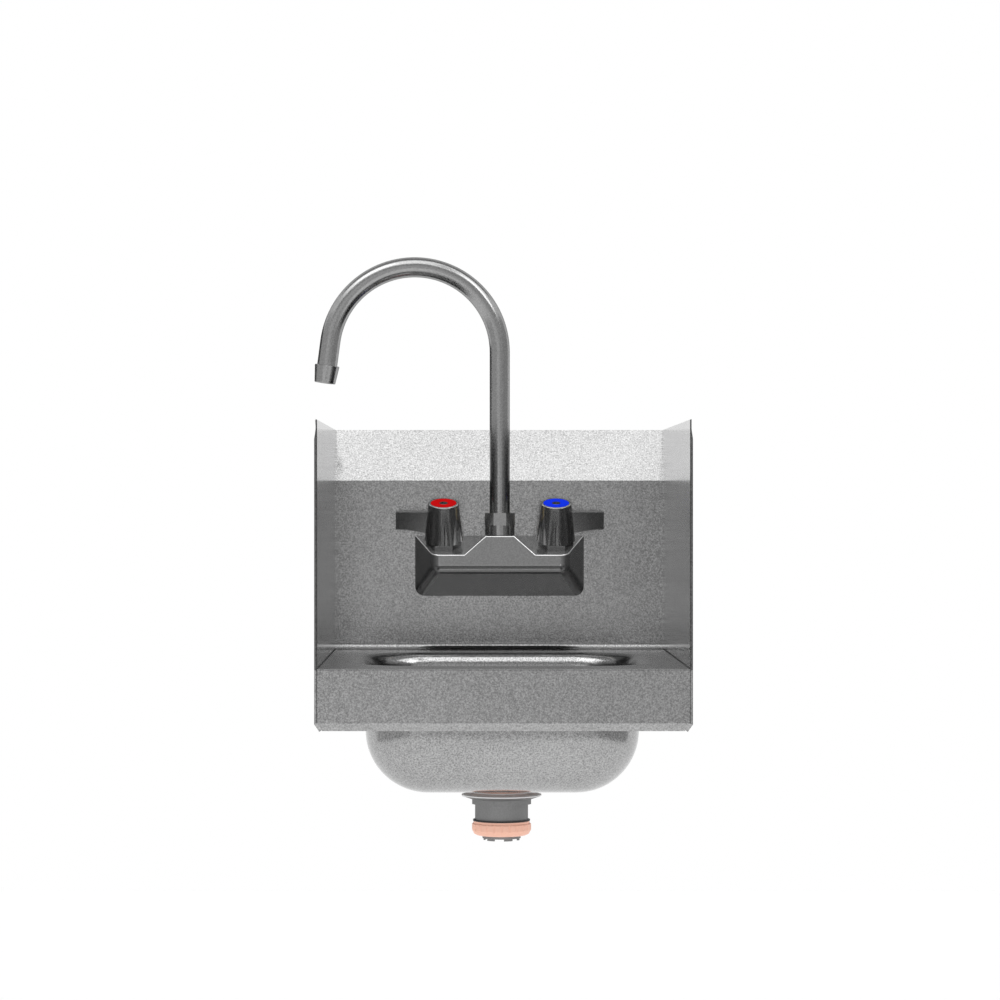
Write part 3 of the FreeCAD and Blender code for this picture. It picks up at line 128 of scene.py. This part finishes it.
def splitParts(tree, source):
    parts = addNode(tree, "ShaderNodeSeparateXYZ")
    tree.links.new(source, parts.inputs[0])
    return parts.outputs


def objectPlace(tree):
    return splitParts(tree, addNode(tree, "ShaderNodeTexCoord").outputs["Object"])


def facing(tree):
    return splitParts(tree, addNode(tree, "ShaderNodeNewGeometry").outputs["Normal"])


def greyFrom(tree, value, tint):
    combine = addNode(tree, "ShaderNodeCombineColor")
    for index, part in enumerate(tint):
        if part == 1:
            tree.links.new(value, combine.inputs[index])
        else:
            scale = addNode(tree, "ShaderNodeMath", operation="MULTIPLY")
            scale.inputs[1].default_value = part
            tree.links.new(value, scale.inputs[0])
            tree.links.new(scale.outputs[0], combine.inputs[index])
    return combine.outputs["Color"]


def bumpFrom(tree, height, strength, distance):
    bump = addNode(tree, "ShaderNodeBump")
    bump.inputs["Strength"].default_value = strength
    bump.inputs["Distance"].default_value = distance
    tree.links.new(height, bump.inputs["Height"])
    return bump.outputs["Normal"]


# Metals: grey is the colour's level, edge is how bright it stays at grazing angles

sheetFinish = {
    "grey": 0.37, "greySwing": 0.145, "rough": 0.17, "roughSwing": 0.03,
    "grain": 820, "bump": 0.06, "edge": 1.0,
    # Painted shade: the colour is darker at the apron's bend and in the cove between deck and
    # backsplash, to tone down their highlights
    "bendShade": {
        "deck": -0.1594,  # height of the deck
        "reach": 0.0016,  # distance over which a bend's place fades in
        "front": -0.3865,  # the apron's bend lies in front of this
        "frontShade": 0.42,  # painted shade: factor on the colour's level there
        "coveTop": (0.008, 0.009),  # above the deck
        "coveSlant": ((0.02, 0.1), (0.97, 1)),  # the normal's Z where the cove begins and ends
        "rear": -0.045,  # the cove lies behind this, on the wall's side
        # painted shade: factor on the colour's level in the cove
        "rearShade": 0.75,
    },
}
tubeFinish = {
    "grey": 0.36, "greySwing": 0.06, "rough": 0.2, "roughSwing": 0.04,
    "grain": 800, "bump": 0.04, "edge": 0.5,
}
drainFinish = {
    "grey": 0.33, "greySwing": 0.02, "rough": 0.6, "roughSwing": 0.04,
    "grain": 800, "bump": 0.04, "edge": 0.4,
}
castFinish = {
    "grey": 0.31, "greySwing": 0.05, "rough": 0.1, "roughSwing": 0.02,
    "grain": 900, "bump": 0.002, "edge": 0.75, "metallic": 0.68,
    # Painted highlight: near-white colour on the casting's edges that face up and to the front
    "edgeHighlight": {
        "grey": 0.95,
        "slant": ((0.12, 0.25), (0.8, 0.9)),  # the normal's Z where the painted edge highlight begins and ends
        "front": (-0.5, -0.35),  # the normal's Y, so that only edges facing the front get the painted highlight
    },
}
fittingFinish = {
    "grey": 0.36, "greySwing": 0.03, "rough": 0.1, "roughSwing": 0.02,
    "grain": 700, "bump": 0.002, "edge": 0.75, "metallic": 0.9,
}
handleFinish = {
    "grey": 0.43, "greySwing": 0.02, "rough": 0.18, "roughSwing": 0.01,
    "grain": 500, "bump": 0.001, "edge": 0.75, "metallic": 0.94,
}
bracketFinish = {
    "grey": 0.5, "greySwing": 0.04, "rough": 0.42, "roughSwing": 0.06,
    "grain": 700, "bump": 0.1, "edge": 0.8,
}
screwFinish = {
    "grey": 0.09, "greySwing": 0.02, "rough": 0.45, "roughSwing": 0.05,
    "grain": 900, "bump": 0.02, "edge": 0.5,
}
brassFinish = {
    "grey": 0.78, "greySwing": 0.03, "rough": 0.28, "roughSwing": 0.05,
    "grain": 700, "bump": 0.05, "edge": 0.9, "tint": (1, 0.78, 0.42),
}
# Painted light: the saucer's top is a pale matt colour, lighter than its metal below, in place of the
# light that the bowl keeps off it
saucerPaintedTop = {"above": -0.2761, "fade": 0.0002, "metallic": 0.1, "rough": 0.6, "grey": 0.9}
basketTop = {"above": -0.2700, "fade": 0.0002, "metallic": 1.0, "rough": 0.2, "grey": 0.5}

metalGrain = {
    "fineDetail": 1.0,
    "cloud": 14,  # scale of the broad pattern under the fine grain
    "cloudDetail": 3.0,
    "cloudShare": 0.15,
    "depth": 0.0004,
}


# Painted shade: darkens the colour at the apron's bend and in the cove at the back of the deck
def paintBendShade(tree, level, bendShade):
    place = objectPlace(tree)
    turned = facing(tree)
    deck = bendShade["deck"]
    reach = bendShade["reach"]
    atEdge = spread(tree, place["Z"], 0, 1, deck - reach, deck - reach / 2)
    inFront = spread(tree, place["Y"], 1, 0, bendShade["front"], bendShade["front"] + reach)
    front = multiply(tree, atEdge, inFront)
    slanting = between(tree, turned["Z"], *bendShade["coveSlant"])
    coveLow, coveHigh = bendShade["coveTop"]
    low = multiply(tree, slanting, spread(tree, place["Z"], 1, 0, deck + coveLow, deck + coveHigh))
    rear = multiply(tree, low, spread(tree, place["Y"], 0, 1, bendShade["rear"], bendShade["rear"] + reach))
    level = multiply(tree, level, spread(tree, front, 1, bendShade["frontShade"], 0, 1))
    return multiply(tree, level, spread(tree, rear, 1, bendShade["rearShade"], 0, 1))


# Painted highlight: the colour turns near white on faces that slant up and face the front
def paintEdgeHighlight(tree, level, edgeHighlight):
    turned = facing(tree)
    slanting = between(tree, turned["Z"], *edgeHighlight["slant"])
    edge = multiply(tree, slanting, spread(tree, turned["Y"], 1, 0, *edgeHighlight["front"]))
    mix = addNode(tree, "ShaderNodeMix", data_type="FLOAT")
    tree.links.new(edge, mix.inputs["Factor"])
    tree.links.new(level, mix.inputs["A"])
    mix.inputs["B"].default_value = edgeHighlight["grey"]
    return mix.outputs["Result"]


def grainLevel(tree, finish, fine):
    broad = objectNoise(tree, metalGrain["cloud"], metalGrain["cloudDetail"])
    mixed = addNode(tree, "ShaderNodeMath", operation="MULTIPLY_ADD")
    share = metalGrain["cloudShare"]
    tree.links.new(broad.outputs["Fac"], mixed.inputs[0])
    mixed.inputs[1].default_value = share
    tree.links.new(fine, mixed.inputs[2])
    lift = share / 2  # what the broad pattern adds on average
    grey = finish["grey"]
    swing = finish["greySwing"]
    return spread(
        tree, mixed.outputs[0], grey - swing, grey + swing, noiseRange[0] + lift, noiseRange[1] + lift)


def grainyMetal(name, finish):
    material, tree, shader = newMaterial(name)
    shader.inputs["Metallic"].default_value = finish.get("metallic", 1.0)
    edge = finish["edge"]
    shader.inputs["Specular Tint"].default_value = (edge, edge, edge, 1)
    fine = objectNoise(tree, finish["grain"], metalGrain["fineDetail"]).outputs["Fac"]
    level = grainLevel(tree, finish, fine)
    if "bendShade" in finish:
        level = paintBendShade(tree, level, finish["bendShade"])
    if "edgeHighlight" in finish:
        level = paintEdgeHighlight(tree, level, finish["edgeHighlight"])
    colour = greyFrom(tree, level, finish.get("tint", (1, 1, 1)))
    rough = finish["rough"]
    swing = finish["roughSwing"]
    tree.links.new(colour, shader.inputs["Base Color"])
    tree.links.new(spread(tree, fine, rough - swing, rough + swing), shader.inputs["Roughness"])
    tree.links.new(bumpFrom(tree, fine, finish["bump"], metalGrain["depth"]), shader.inputs["Normal"])
    return material


mixSockets = {"first": 6, "second": 7, "result": 2}  # a colour Mix node's sockets


# Above a given height a part gets a second finish; on the saucer this second finish is painted light
def twoZoneMetal(name, finish, zone):
    material = grainyMetal(name, finish)
    tree = material.node_tree
    shader = tree.nodes["Principled BSDF"]
    onTop = spread(tree, objectPlace(tree)["Z"], 0, 1, zone["above"], zone["above"] + zone["fade"])
    metallic = spread(tree, onTop, 1.0, zone["metallic"], 0, 1)
    rough = spread(tree, onTop, finish["rough"], zone["rough"], 0, 1)
    tree.links.new(metallic, shader.inputs["Metallic"])
    tree.links.new(rough, shader.inputs["Roughness"])
    dull = shader.inputs["Base Color"].links[0].from_socket
    mix = addNode(tree, "ShaderNodeMix", data_type="RGBA")
    tree.links.new(onTop, mix.inputs["Factor"])
    tree.links.new(dull, mix.inputs[mixSockets["first"]])
    mix.inputs[mixSockets["second"]].default_value = (zone["grey"], zone["grey"], zone["grey"], 1)
    tree.links.new(mix.outputs[mixSockets["result"]], shader.inputs["Base Color"])
    return material


sheetSteel = grainyMetal("beadBlastedSheet", sheetFinish)
bracketSteel = grainyMetal("bracketSteel", bracketFinish)
tubeSteel = grainyMetal("satinTube", tubeFinish)
drainSteel = grainyMetal("drainSteel", drainFinish)
castChrome = grainyMetal("castChrome", castFinish)
fittingChrome = grainyMetal("fittingChrome", fittingFinish)
handleChrome = grainyMetal("handleChrome", handleFinish)
screwSteel = grainyMetal("screwSteel", screwFinish)
machinedBrass = grainyMetal("machinedBrass", brassFinish)
saucerSteelPaintedTop = twoZoneMetal("saucerSteelPaintedTop", drainFinish, saucerPaintedTop)
basketSteel = twoZoneMetal("basketSteel", drainFinish, basketTop)
print("metals made")


# Plastics, rubber and ceramic

softLooks = {  # colour, swing of its level, roughness, grain, bump, gloss
    "redIndex": ((0.53, 0.006, 0.007), 0.05, 0.5, 300, 0.03, 0.0),
    "blueIndex": ((0.008, 0.035, 0.75), 0.05, 0.5, 300, 0.03, 0.0),
    "slipNutPlastic": ((0.93, 0.53, 0.4), 0.03, 0.5, 400, 0.05, 0.4),
    "gasketRubber": ((0.8, 0.42, 0.32), 0.06, 0.6, 500, 0.1, 0.3),
    "blackRubber": ((0.02, 0.02, 0.02), 0.2, 0.6, 500, 0.1, 0.5),
    "whiteCeramic": ((0.75, 0.75, 0.72), 0.02, 0.2, 300, 0.02, 0.5),
    "whiteAcetal": ((0.72, 0.72, 0.7), 0.02, 0.4, 300, 0.03, 0.5),
}
softGrain = {"detail": 2.0, "roughSwing": 0.05, "depth": 0.0003}


def softSolid(name, colour, swing, rough, grain, bump, gloss):
    material, tree, shader = newMaterial(name)
    noise = objectNoise(tree, grain, softGrain["detail"]).outputs["Fac"]
    level = spread(tree, noise, 1 - swing, 1 + swing)
    scaled = addNode(tree, "ShaderNodeVectorMath", operation="SCALE")
    scaled.inputs[0].default_value = colour
    tree.links.new(level, scaled.inputs["Scale"])
    tree.links.new(scaled.outputs[0], shader.inputs["Base Color"])
    low = rough - softGrain["roughSwing"]
    high = rough + softGrain["roughSwing"]
    tree.links.new(spread(tree, noise, low, high), shader.inputs["Roughness"])
    tree.links.new(bumpFrom(tree, noise, bump, softGrain["depth"]), shader.inputs["Normal"])
    shader.inputs["Specular IOR Level"].default_value = gloss
    return material


soft = {name: softSolid(name, *look) for name, look in softLooks.items()}
print("plastics made")


# Every CAD piece gets the finish of its material slot, and four get one of their own

finishes = {
    "stainless_sheet": sheetSteel,
    "stainless_bracket": bracketSteel,
    "satin_tube": tubeSteel,
    "chrome_casting": castChrome,
    "chrome_handle": handleChrome,
    "chrome_fitting": fittingChrome,
    "brass_fitting": machinedBrass,
    "steel_screw": screwSteel,
    "red_index": soft["redIndex"],
    "blue_index": soft["blueIndex"],
    "black_rubber": soft["blackRubber"],
    "white_ceramic": soft["whiteCeramic"],
    "white_acetal": soft["whiteAcetal"],
    "drain_steel": drainSteel,
    "drain_gasket": soft["gasketRubber"],
    "slip_nut_plastic": soft["slipNutPlastic"],
}
ownFinishes = {
    "drain_locknut": saucerSteelPaintedTop,
    "slip_ring": soft["blackRubber"],
    "strainer_body": basketSteel,
    "strainer_plate": tubeSteel,
}


def giveFinish(name, material):
    for place in nodes[name].material_slots:
        place.material = material


for entry in frame["record"]["subparts"]:
    giveFinish(entry["node"], finishes[entry["material_slot"]])
for name, material in ownFinishes.items():
    giveFinish(name, material)
print("finishes assigned")


# Modelling helpers

def editPiece(piece):
    makeActive(piece)
    bpy.ops.object.mode_set(mode="EDIT")


def selectFaces(piece, wanted):
    bpy.ops.mesh.select_mode(type="FACE")
    bpy.ops.mesh.select_all(action="DESELECT")
    mesh = bmesh.from_edit_mesh(piece.data)
    for face in mesh.faces:
        if wanted(face.calc_center_median(), face.normal):
            face.select_set(True)
    bmesh.update_edit_mesh(piece.data)


def applyPlace():
    bpy.ops.object.transform_apply(location=True, rotation=True, scale=True)


def turnOutwards():
    bpy.ops.mesh.select_all(action="SELECT")
    bpy.ops.mesh.normals_make_consistent(inside=False)
    bpy.ops.object.mode_set(mode="OBJECT")


def settlePiece(piece, name, body, slot, smooth=30):
    if piece.mode == "EDIT":
        bpy.ops.object.mode_set(mode="OBJECT")
    makeActive(piece)
    applyPlace()
    bpy.ops.object.shade_smooth_by_angle(angle=math.radians(smooth))
    piece.name = name
    piece.data.name = name
    piece.data.materials.clear()
    piece.data.materials.append(finishes[slot])
    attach(piece, body)


def joinPieces(first, second):
    makeActive(first)
    second.select_set(True)
    bpy.ops.object.join()
    return first


def copyPiece(piece, shift):
    twin = piece.copy()
    twin.data = piece.data.copy()
    twin.data.transform(Matrix.Translation(shift))
    bpy.context.scene.collection.objects.link(twin)
    return twin


# Supply shanks with a cut thread

shank = {
    "x": -0.0508, "z": -0.09039, "radius": 0.01045, "root": 0.00965, "bore": 0.0072, "facets": 64,
    "socketEnd": -0.038, "nutEnd": -0.0222, "tip": -0.006, "chamfer": 0.0008,
    "endOn": 0.9,  # a face whose normal goes further along the shank is one of its ends
    "pitch": 0.0018, "threadFrom": -0.0203, "turns": 6, "ridge": 0.00086, "ridgeSides": 3, "steps": 48,
}


def shankSleeve():
    s = shank
    length = s["nutEnd"] - s["socketEnd"]
    middle = (s["x"], s["socketEnd"] + length / 2, s["z"])
    deselectAll()
    bpy.ops.mesh.primitive_cylinder_add(
        vertices=s["facets"], radius=s["radius"], depth=length, location=middle,
        rotation=inRadians((90, 0, 0)))
    piece = bpy.context.object
    applyPlace()
    editPiece(piece)
    selectFaces(piece, lambda centre, normal: normal.y > s["endOn"])
    bpy.ops.mesh.inset(thickness=s["radius"] - s["root"])
    run = s["tip"] - s["chamfer"] - s["nutEnd"]
    bpy.ops.mesh.extrude_region_move(TRANSFORM_OT_translate={"value": (0, run, 0)})
    bpy.ops.mesh.extrude_region_move(TRANSFORM_OT_translate={"value": (0, s["chamfer"], 0)})
    narrow = (s["root"] - s["chamfer"] / 2) / s["root"]
    bpy.ops.transform.resize(value=(narrow, 1, narrow), center_override=(s["x"], s["tip"], s["z"]))
    bpy.ops.mesh.inset(thickness=s["root"] * narrow - s["bore"])
    bpy.ops.mesh.delete(type="FACE")
    selectFaces(piece, lambda centre, normal: normal.y < -s["endOn"])
    bpy.ops.mesh.inset(thickness=s["radius"] - s["bore"])
    bpy.ops.mesh.delete(type="FACE")
    bpy.ops.mesh.select_mode(type="EDGE")
    bpy.ops.mesh.select_non_manifold(extend=False)
    bpy.ops.mesh.bridge_edge_loops()
    turnOutwards()
    return piece


def shankRidge():
    s = shank
    deselectAll()
    bpy.ops.mesh.primitive_circle_add(
        vertices=s["ridgeSides"], radius=s["ridge"], fill_type="NOTHING",
        location=(s["x"], s["threadFrom"], s["z"]), rotation=inRadians((90, 0, 90)))
    piece = bpy.context.object
    bpy.ops.object.transform_apply(location=False, rotation=True, scale=True)
    editPiece(piece)
    bpy.ops.mesh.select_all(action="SELECT")
    bpy.ops.transform.translate(value=(0, 0, s["radius"] - s["ridge"]))
    bpy.ops.object.mode_set(mode="OBJECT")
    helix = piece.modifiers.new("helix", "SCREW")
    helix.axis = "Y"
    helix.angle = math.radians(360)
    helix.screw_offset = s["pitch"]
    helix.iterations = s["turns"]
    helix.steps = s["steps"]
    helix.render_steps = s["steps"]
    bpy.ops.object.modifier_apply(modifier="helix")
    editPiece(piece)
    bpy.ops.mesh.select_all(action="SELECT")
    bpy.ops.mesh.fill_holes(sides=s["ridgeSides"])
    turnOutwards()
    return piece


hotShank = joinPieces(shankSleeve(), shankRidge())
settlePiece(hotShank, "hot_threaded_shank", "basin", "brass_fitting")
coldShank = copyPiece(hotShank, (-2 * shank["x"], 0, 0))
settlePiece(coldShank, "cold_threaded_shank", "basin", "brass_fitting")
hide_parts("hot_inlet_shank")
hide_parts("cold_inlet_shank")
print("threaded shanks made")


# Handle screws with a cross recess

crossRecess = {
    "x": 0.0508, "y": -0.06799, "z": -0.02609,  # middle of the cold screw's top
    "lean": 20, "turn": 45, "arm": 0.0046, "width": 0.001, "depth": 0.0016,
    "merge": 1e-6,  # corners nearer than this become one
}


def cutSlot(piece, x, turn):
    c = crossRecess
    deselectAll()
    bpy.ops.mesh.primitive_cube_add(size=1)
    cutter = bpy.context.object
    cutter.matrix_world = (
        Matrix.Translation((x, c["y"], c["z"])) @ Matrix.Rotation(math.radians(c["lean"]), 4, "X")
        @ Matrix.Rotation(math.radians(turn), 4, "Z")
        @ Matrix.Diagonal((c["arm"], c["width"], 2 * c["depth"], 1)))
    makeActive(piece)
    slot = piece.modifiers.new("slot", "BOOLEAN")
    slot.operation = "DIFFERENCE"
    slot.object = cutter
    bpy.ops.object.modifier_apply(modifier="slot")
    bpy.data.objects.remove(cutter)


def crossScrew(label, x, body):
    piece = copyPiece(nodes[label + "_handle_screw"], (0, 0, 0))
    editPiece(piece)
    bpy.ops.mesh.select_all(action="SELECT")
    bpy.ops.mesh.remove_doubles(threshold=crossRecess["merge"])
    bpy.ops.object.mode_set(mode="OBJECT")
    for quarter in (0, 90):
        cutSlot(piece, x, crossRecess["turn"] + quarter)
    settlePiece(piece, label + "_cross_screw", body, "steel_screw")
    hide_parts(label + "_handle_screw")


crossScrew("hot", -crossRecess["x"], "hot_control")
crossScrew("cold", crossRecess["x"], "cold_control")
print("cross screws made")


# Wire screen in the outlet's mouth

outletScreen = {
    "place": (-0.15818, -0.057, 0.08358), "lean": 7.5, "size": 0.0132, "wires": 16, "radius": 0.0062,
    "wire": 0.00026, "rimRadius": 0.0063, "rimWire": 0.0002, "rimFacets": 48, "rimWireFacets": 8,
}


def makeScreen():
    o = outletScreen
    turn = inRadians((0, o["lean"], 0))
    middle = Vector(o["place"])
    deselectAll()
    bpy.ops.mesh.primitive_grid_add(
        x_subdivisions=o["wires"], y_subdivisions=o["wires"], size=o["size"], location=middle,
        rotation=turn)
    screen = bpy.context.object
    applyPlace()
    editPiece(screen)
    selectFaces(screen, lambda centre, normal: (centre - middle).length > o["radius"])
    bpy.ops.mesh.delete(type="FACE")
    bpy.ops.object.mode_set(mode="OBJECT")
    wire = screen.modifiers.new("wire", "WIREFRAME")
    wire.thickness = o["wire"]
    bpy.ops.object.modifier_apply(modifier="wire")
    deselectAll()
    bpy.ops.mesh.primitive_torus_add(
        major_radius=o["rimRadius"], minor_radius=o["rimWire"], major_segments=o["rimFacets"],
        minor_segments=o["rimWireFacets"], location=middle, rotation=turn)
    joinPieces(screen, bpy.context.object)
    settlePiece(screen, "aerator_screen", "swivel_spout", "satin_tube")


makeScreen()
print("outlet screen made")


# A black bead along the joint between the deck and each side splash: the joint is real, its dark line is
# painted shade in the crease

seamShadeBead = {
    "x": 0.15, "deck": -0.15939, "front": -0.3862, "rear": -0.0366,
    "width": 0.0008, "height": 0.0006, "round": 0.0005, "roundSteps": 4,
    "longEdge": 0.1,  # edges longer than this run along the bead
    "smooth": 60,
}


# Painted shade: a thin black bead along the crease where the deck meets a side splash
def makeSeamShadeBead(name, side):
    s = seamShadeBead
    run = s["rear"] - s["front"]
    across = side * (s["x"] - s["width"] / 2)
    middle = (across, (s["front"] + s["rear"]) / 2, s["deck"] + s["height"] / 2)
    deselectAll()
    bpy.ops.mesh.primitive_cube_add(size=1, location=middle, scale=(s["width"], run, s["height"]))
    bead = bpy.context.object
    applyPlace()
    editPiece(bead)
    bpy.ops.mesh.select_mode(type="EDGE")
    bpy.ops.mesh.select_all(action="DESELECT")
    mesh = bmesh.from_edit_mesh(bead.data)
    for edge in mesh.edges:
        centre = (edge.verts[0].co + edge.verts[1].co) / 2
        if centre.z > middle[2] and abs(centre.x) < abs(across):
            edge.select_set(edge.calc_length() > s["longEdge"])
    bmesh.update_edit_mesh(bead.data)
    bpy.ops.mesh.bevel(offset=s["round"], segments=s["roundSteps"], affect="EDGES")
    settlePiece(bead, name, "basin", "black_rubber", s["smooth"])


makeSeamShadeBead("left_joint_shade_bead", -1)
makeSeamShadeBead("right_joint_shade_bead", 1)
print("sealant made")


# The sloped strip is evenly light in the photograph, so it doesn't mirror the spout above it

for name in ("spout_tube", "aerator_collar", "spout_nut"):
    nodes[name].visible_glossy = False


# Floor, which keeps the shadow and looks pale to the camera and in the metal

studioFloor = {"drop": 0.9, "size": 14.0, "grey": 0.9, "rough": 0.8, "glow": 0.06}


def seenOrMirrored(tree, path):
    seen = addNode(tree, "ShaderNodeMath", operation="MAXIMUM")
    tree.links.new(path.outputs["Is Camera Ray"], seen.inputs[0])
    tree.links.new(path.outputs["Is Glossy Ray"], seen.inputs[1])
    return seen.outputs[0]


def floorMaterial():
    material, tree, shader = newMaterial("paleFloor")
    grey = studioFloor["grey"]
    shader.inputs["Base Color"].default_value = (grey, grey, grey, 1)
    shader.inputs["Roughness"].default_value = studioFloor["rough"]
    seen = seenOrMirrored(tree, addNode(tree, "ShaderNodeLightPath"))
    level = addNode(tree, "ShaderNodeMath", operation="MULTIPLY")
    level.inputs[1].default_value = studioFloor["glow"]
    glow = addNode(tree, "ShaderNodeEmission")
    both = addNode(tree, "ShaderNodeAddShader")
    tree.links.new(seen, level.inputs[0])
    tree.links.new(level.outputs[0], glow.inputs["Strength"])
    tree.links.new(shader.outputs[0], both.inputs[0])
    tree.links.new(glow.outputs[0], both.inputs[1])
    tree.links.new(both.outputs[0], tree.nodes["Material Output"].inputs["Surface"])
    return material


deselectAll()
floorHeight = cadBounds[0][2] - studioFloor["drop"]
bpy.ops.mesh.primitive_plane_add(size=studioFloor["size"], location=(0, 0, floorHeight))
floor = bpy.context.object
floor.name = "floor"
floor.data.materials.append(floorMaterial())
print("floor laid")


# Cards that the metal mirrors, out of the camera's sight

cards = {  # place, size, turn in degrees, glow at the left and at the right
    "frontCard": ((0, -4.6, 0.62), (8.0, 1.97), (90, 0, 0), (0.75, 0.545)),
    "frontLowCard": ((0, -4.6, -0.765), (8.0, 0.8), (90, 0, 0), (0.88, 0.66)),
    "frontHighCard": ((0, -4.1, 2.4), (8.0, 1.9), (58, 0, 0), (0.48, 0.48)),
    "topCard": ((0, -2.0, 3.2), (7.0, 3.2), (0, 0, 0), (2.1, 2.0)),
    "topLeftCard": ((-1.5, -1.6, 2.9), (1.6, 1.3), (0, 0, 0), (3.6, 3.6)),  # lights in the spout's arch
    "topRightCard": ((1.93, -2.0, 2.2), (0.9, 1.5), (53, 0, 44), (3.8, 3.8)),
    "topGap": ((0.85, -1.6, 2.8), (0.6, 1.4), (0, 0, 0), (0.9, 0.9)),  # dimmer part between them
    "topFlag": ((0, 0.5, 3.1), (7.0, 1.9), (0, 0, 0), (0.35, 0.35)),  # keeps the arch's outer edge dark
    "leftCard": ((-3.0, -1.8, 0.3), (5.0, 2.6), (90, 0, 90), (0.6, 0.6)),
    "rightCard": ((3.0, -1.8, 0.3), (5.0, 2.6), (90, 0, 90), (0.46, 0.46)),
    "leftFlag": ((-1.7, 1.6, 0.4), (2.6, 0.7), (90, 0, 45), (0.12, 0.12)),
}
cardBlend = 0.08  # share of a card's width on each side of its middle, where left turns to right


def glowMaterial(name, left, right):
    material = bpy.data.materials.new(name)
    material.use_nodes = True
    tree = material.node_tree
    tree.nodes.clear()
    glow = addNode(tree, "ShaderNodeEmission")
    if left == right:
        glow.inputs["Strength"].default_value = left
    else:
        across = objectPlace(tree)["X"]
        tree.links.new(spread(tree, across, left, right, -cardBlend, cardBlend), glow.inputs["Strength"])
    out = addNode(tree, "ShaderNodeOutputMaterial")
    tree.links.new(glow.outputs[0], out.inputs["Surface"])
    return material


def makeCard(name, place, size, turn, glow):
    deselectAll()
    bpy.ops.mesh.primitive_plane_add(size=1, location=place, rotation=inRadians(turn))
    card = bpy.context.object
    card.name = name
    card.scale = (*size, 1)
    card.data.materials.append(glowMaterial(name + "Glow", *glow))
    card.visible_camera = False
    card.visible_diffuse = False


for name, card in cards.items():
    makeCard(name, *card)
print("cards set:", len(cards))


# One soft lamp above, and a white world

topLamp = {"place": (0, -0.6, 1.7), "size": (1.6, 1.0), "turn": (15, 0, 0), "power": 6}
worldLight = 1.05  # on matt surfaces; seen or mirrored it is plain white


def makeLamp():
    lamp = bpy.data.lights.new("topLamp", "AREA")
    lamp.shape = "RECTANGLE"
    lamp.size, lamp.size_y = topLamp["size"]
    lamp.energy = topLamp["power"]
    holder = bpy.data.objects.new("topLamp", lamp)
    holder.location = topLamp["place"]
    holder.rotation_euler = inRadians(topLamp["turn"])
    holder.visible_glossy = False
    bpy.context.scene.collection.objects.link(holder)


def makeWorld():
    world = bpy.data.worlds.new("studioWorld")
    bpy.context.scene.world = world
    world.use_nodes = True
    tree = world.node_tree
    tree.nodes.clear()
    white = addNode(tree, "ShaderNodeBackground")
    white.inputs["Color"].default_value = (1, 1, 1, 1)
    lit = addNode(tree, "ShaderNodeBackground")
    lit.inputs["Color"].default_value = (1, 1, 1, 1)
    lit.inputs["Strength"].default_value = worldLight
    path = addNode(tree, "ShaderNodeLightPath")
    seen = seenOrMirrored(tree, path)
    orThrough = addNode(tree, "ShaderNodeMath", operation="MAXIMUM")
    mix = addNode(tree, "ShaderNodeMixShader")
    out = addNode(tree, "ShaderNodeOutputWorld")
    tree.links.new(seen, orThrough.inputs[0])
    tree.links.new(path.outputs["Is Transmission Ray"], orThrough.inputs[1])
    tree.links.new(orThrough.outputs[0], mix.inputs["Fac"])
    tree.links.new(lit.outputs[0], mix.inputs[1])
    tree.links.new(white.outputs[0], mix.inputs[2])
    tree.links.new(mix.outputs[0], out.inputs["Surface"])


makeLamp()
makeWorld()
bpy.context.scene.view_settings.view_transform = "Standard"
print("lamp and world set")


# Camera straight in front

view = {
    "place": (-0.0274, -3.007, -0.0270), "turn": (90, 0, 0), "lens": 117.3, "sensor": 36,
    "shift": (0.0305, 0.004), "clipEnd": 100,
}


def makeCamera():
    lens = bpy.data.cameras.new("camera")
    lens.sensor_width = view["sensor"]
    lens.lens = view["lens"]
    lens.shift_x, lens.shift_y = view["shift"]
    lens.clip_end = view["clipEnd"]
    camera = bpy.data.objects.new("camera", lens)
    camera.location = view["place"]
    camera.rotation_euler = inRadians(view["turn"])
    bpy.context.scene.collection.objects.link(camera)
    bpy.context.scene.camera = camera


makeCamera()
print("camera set")
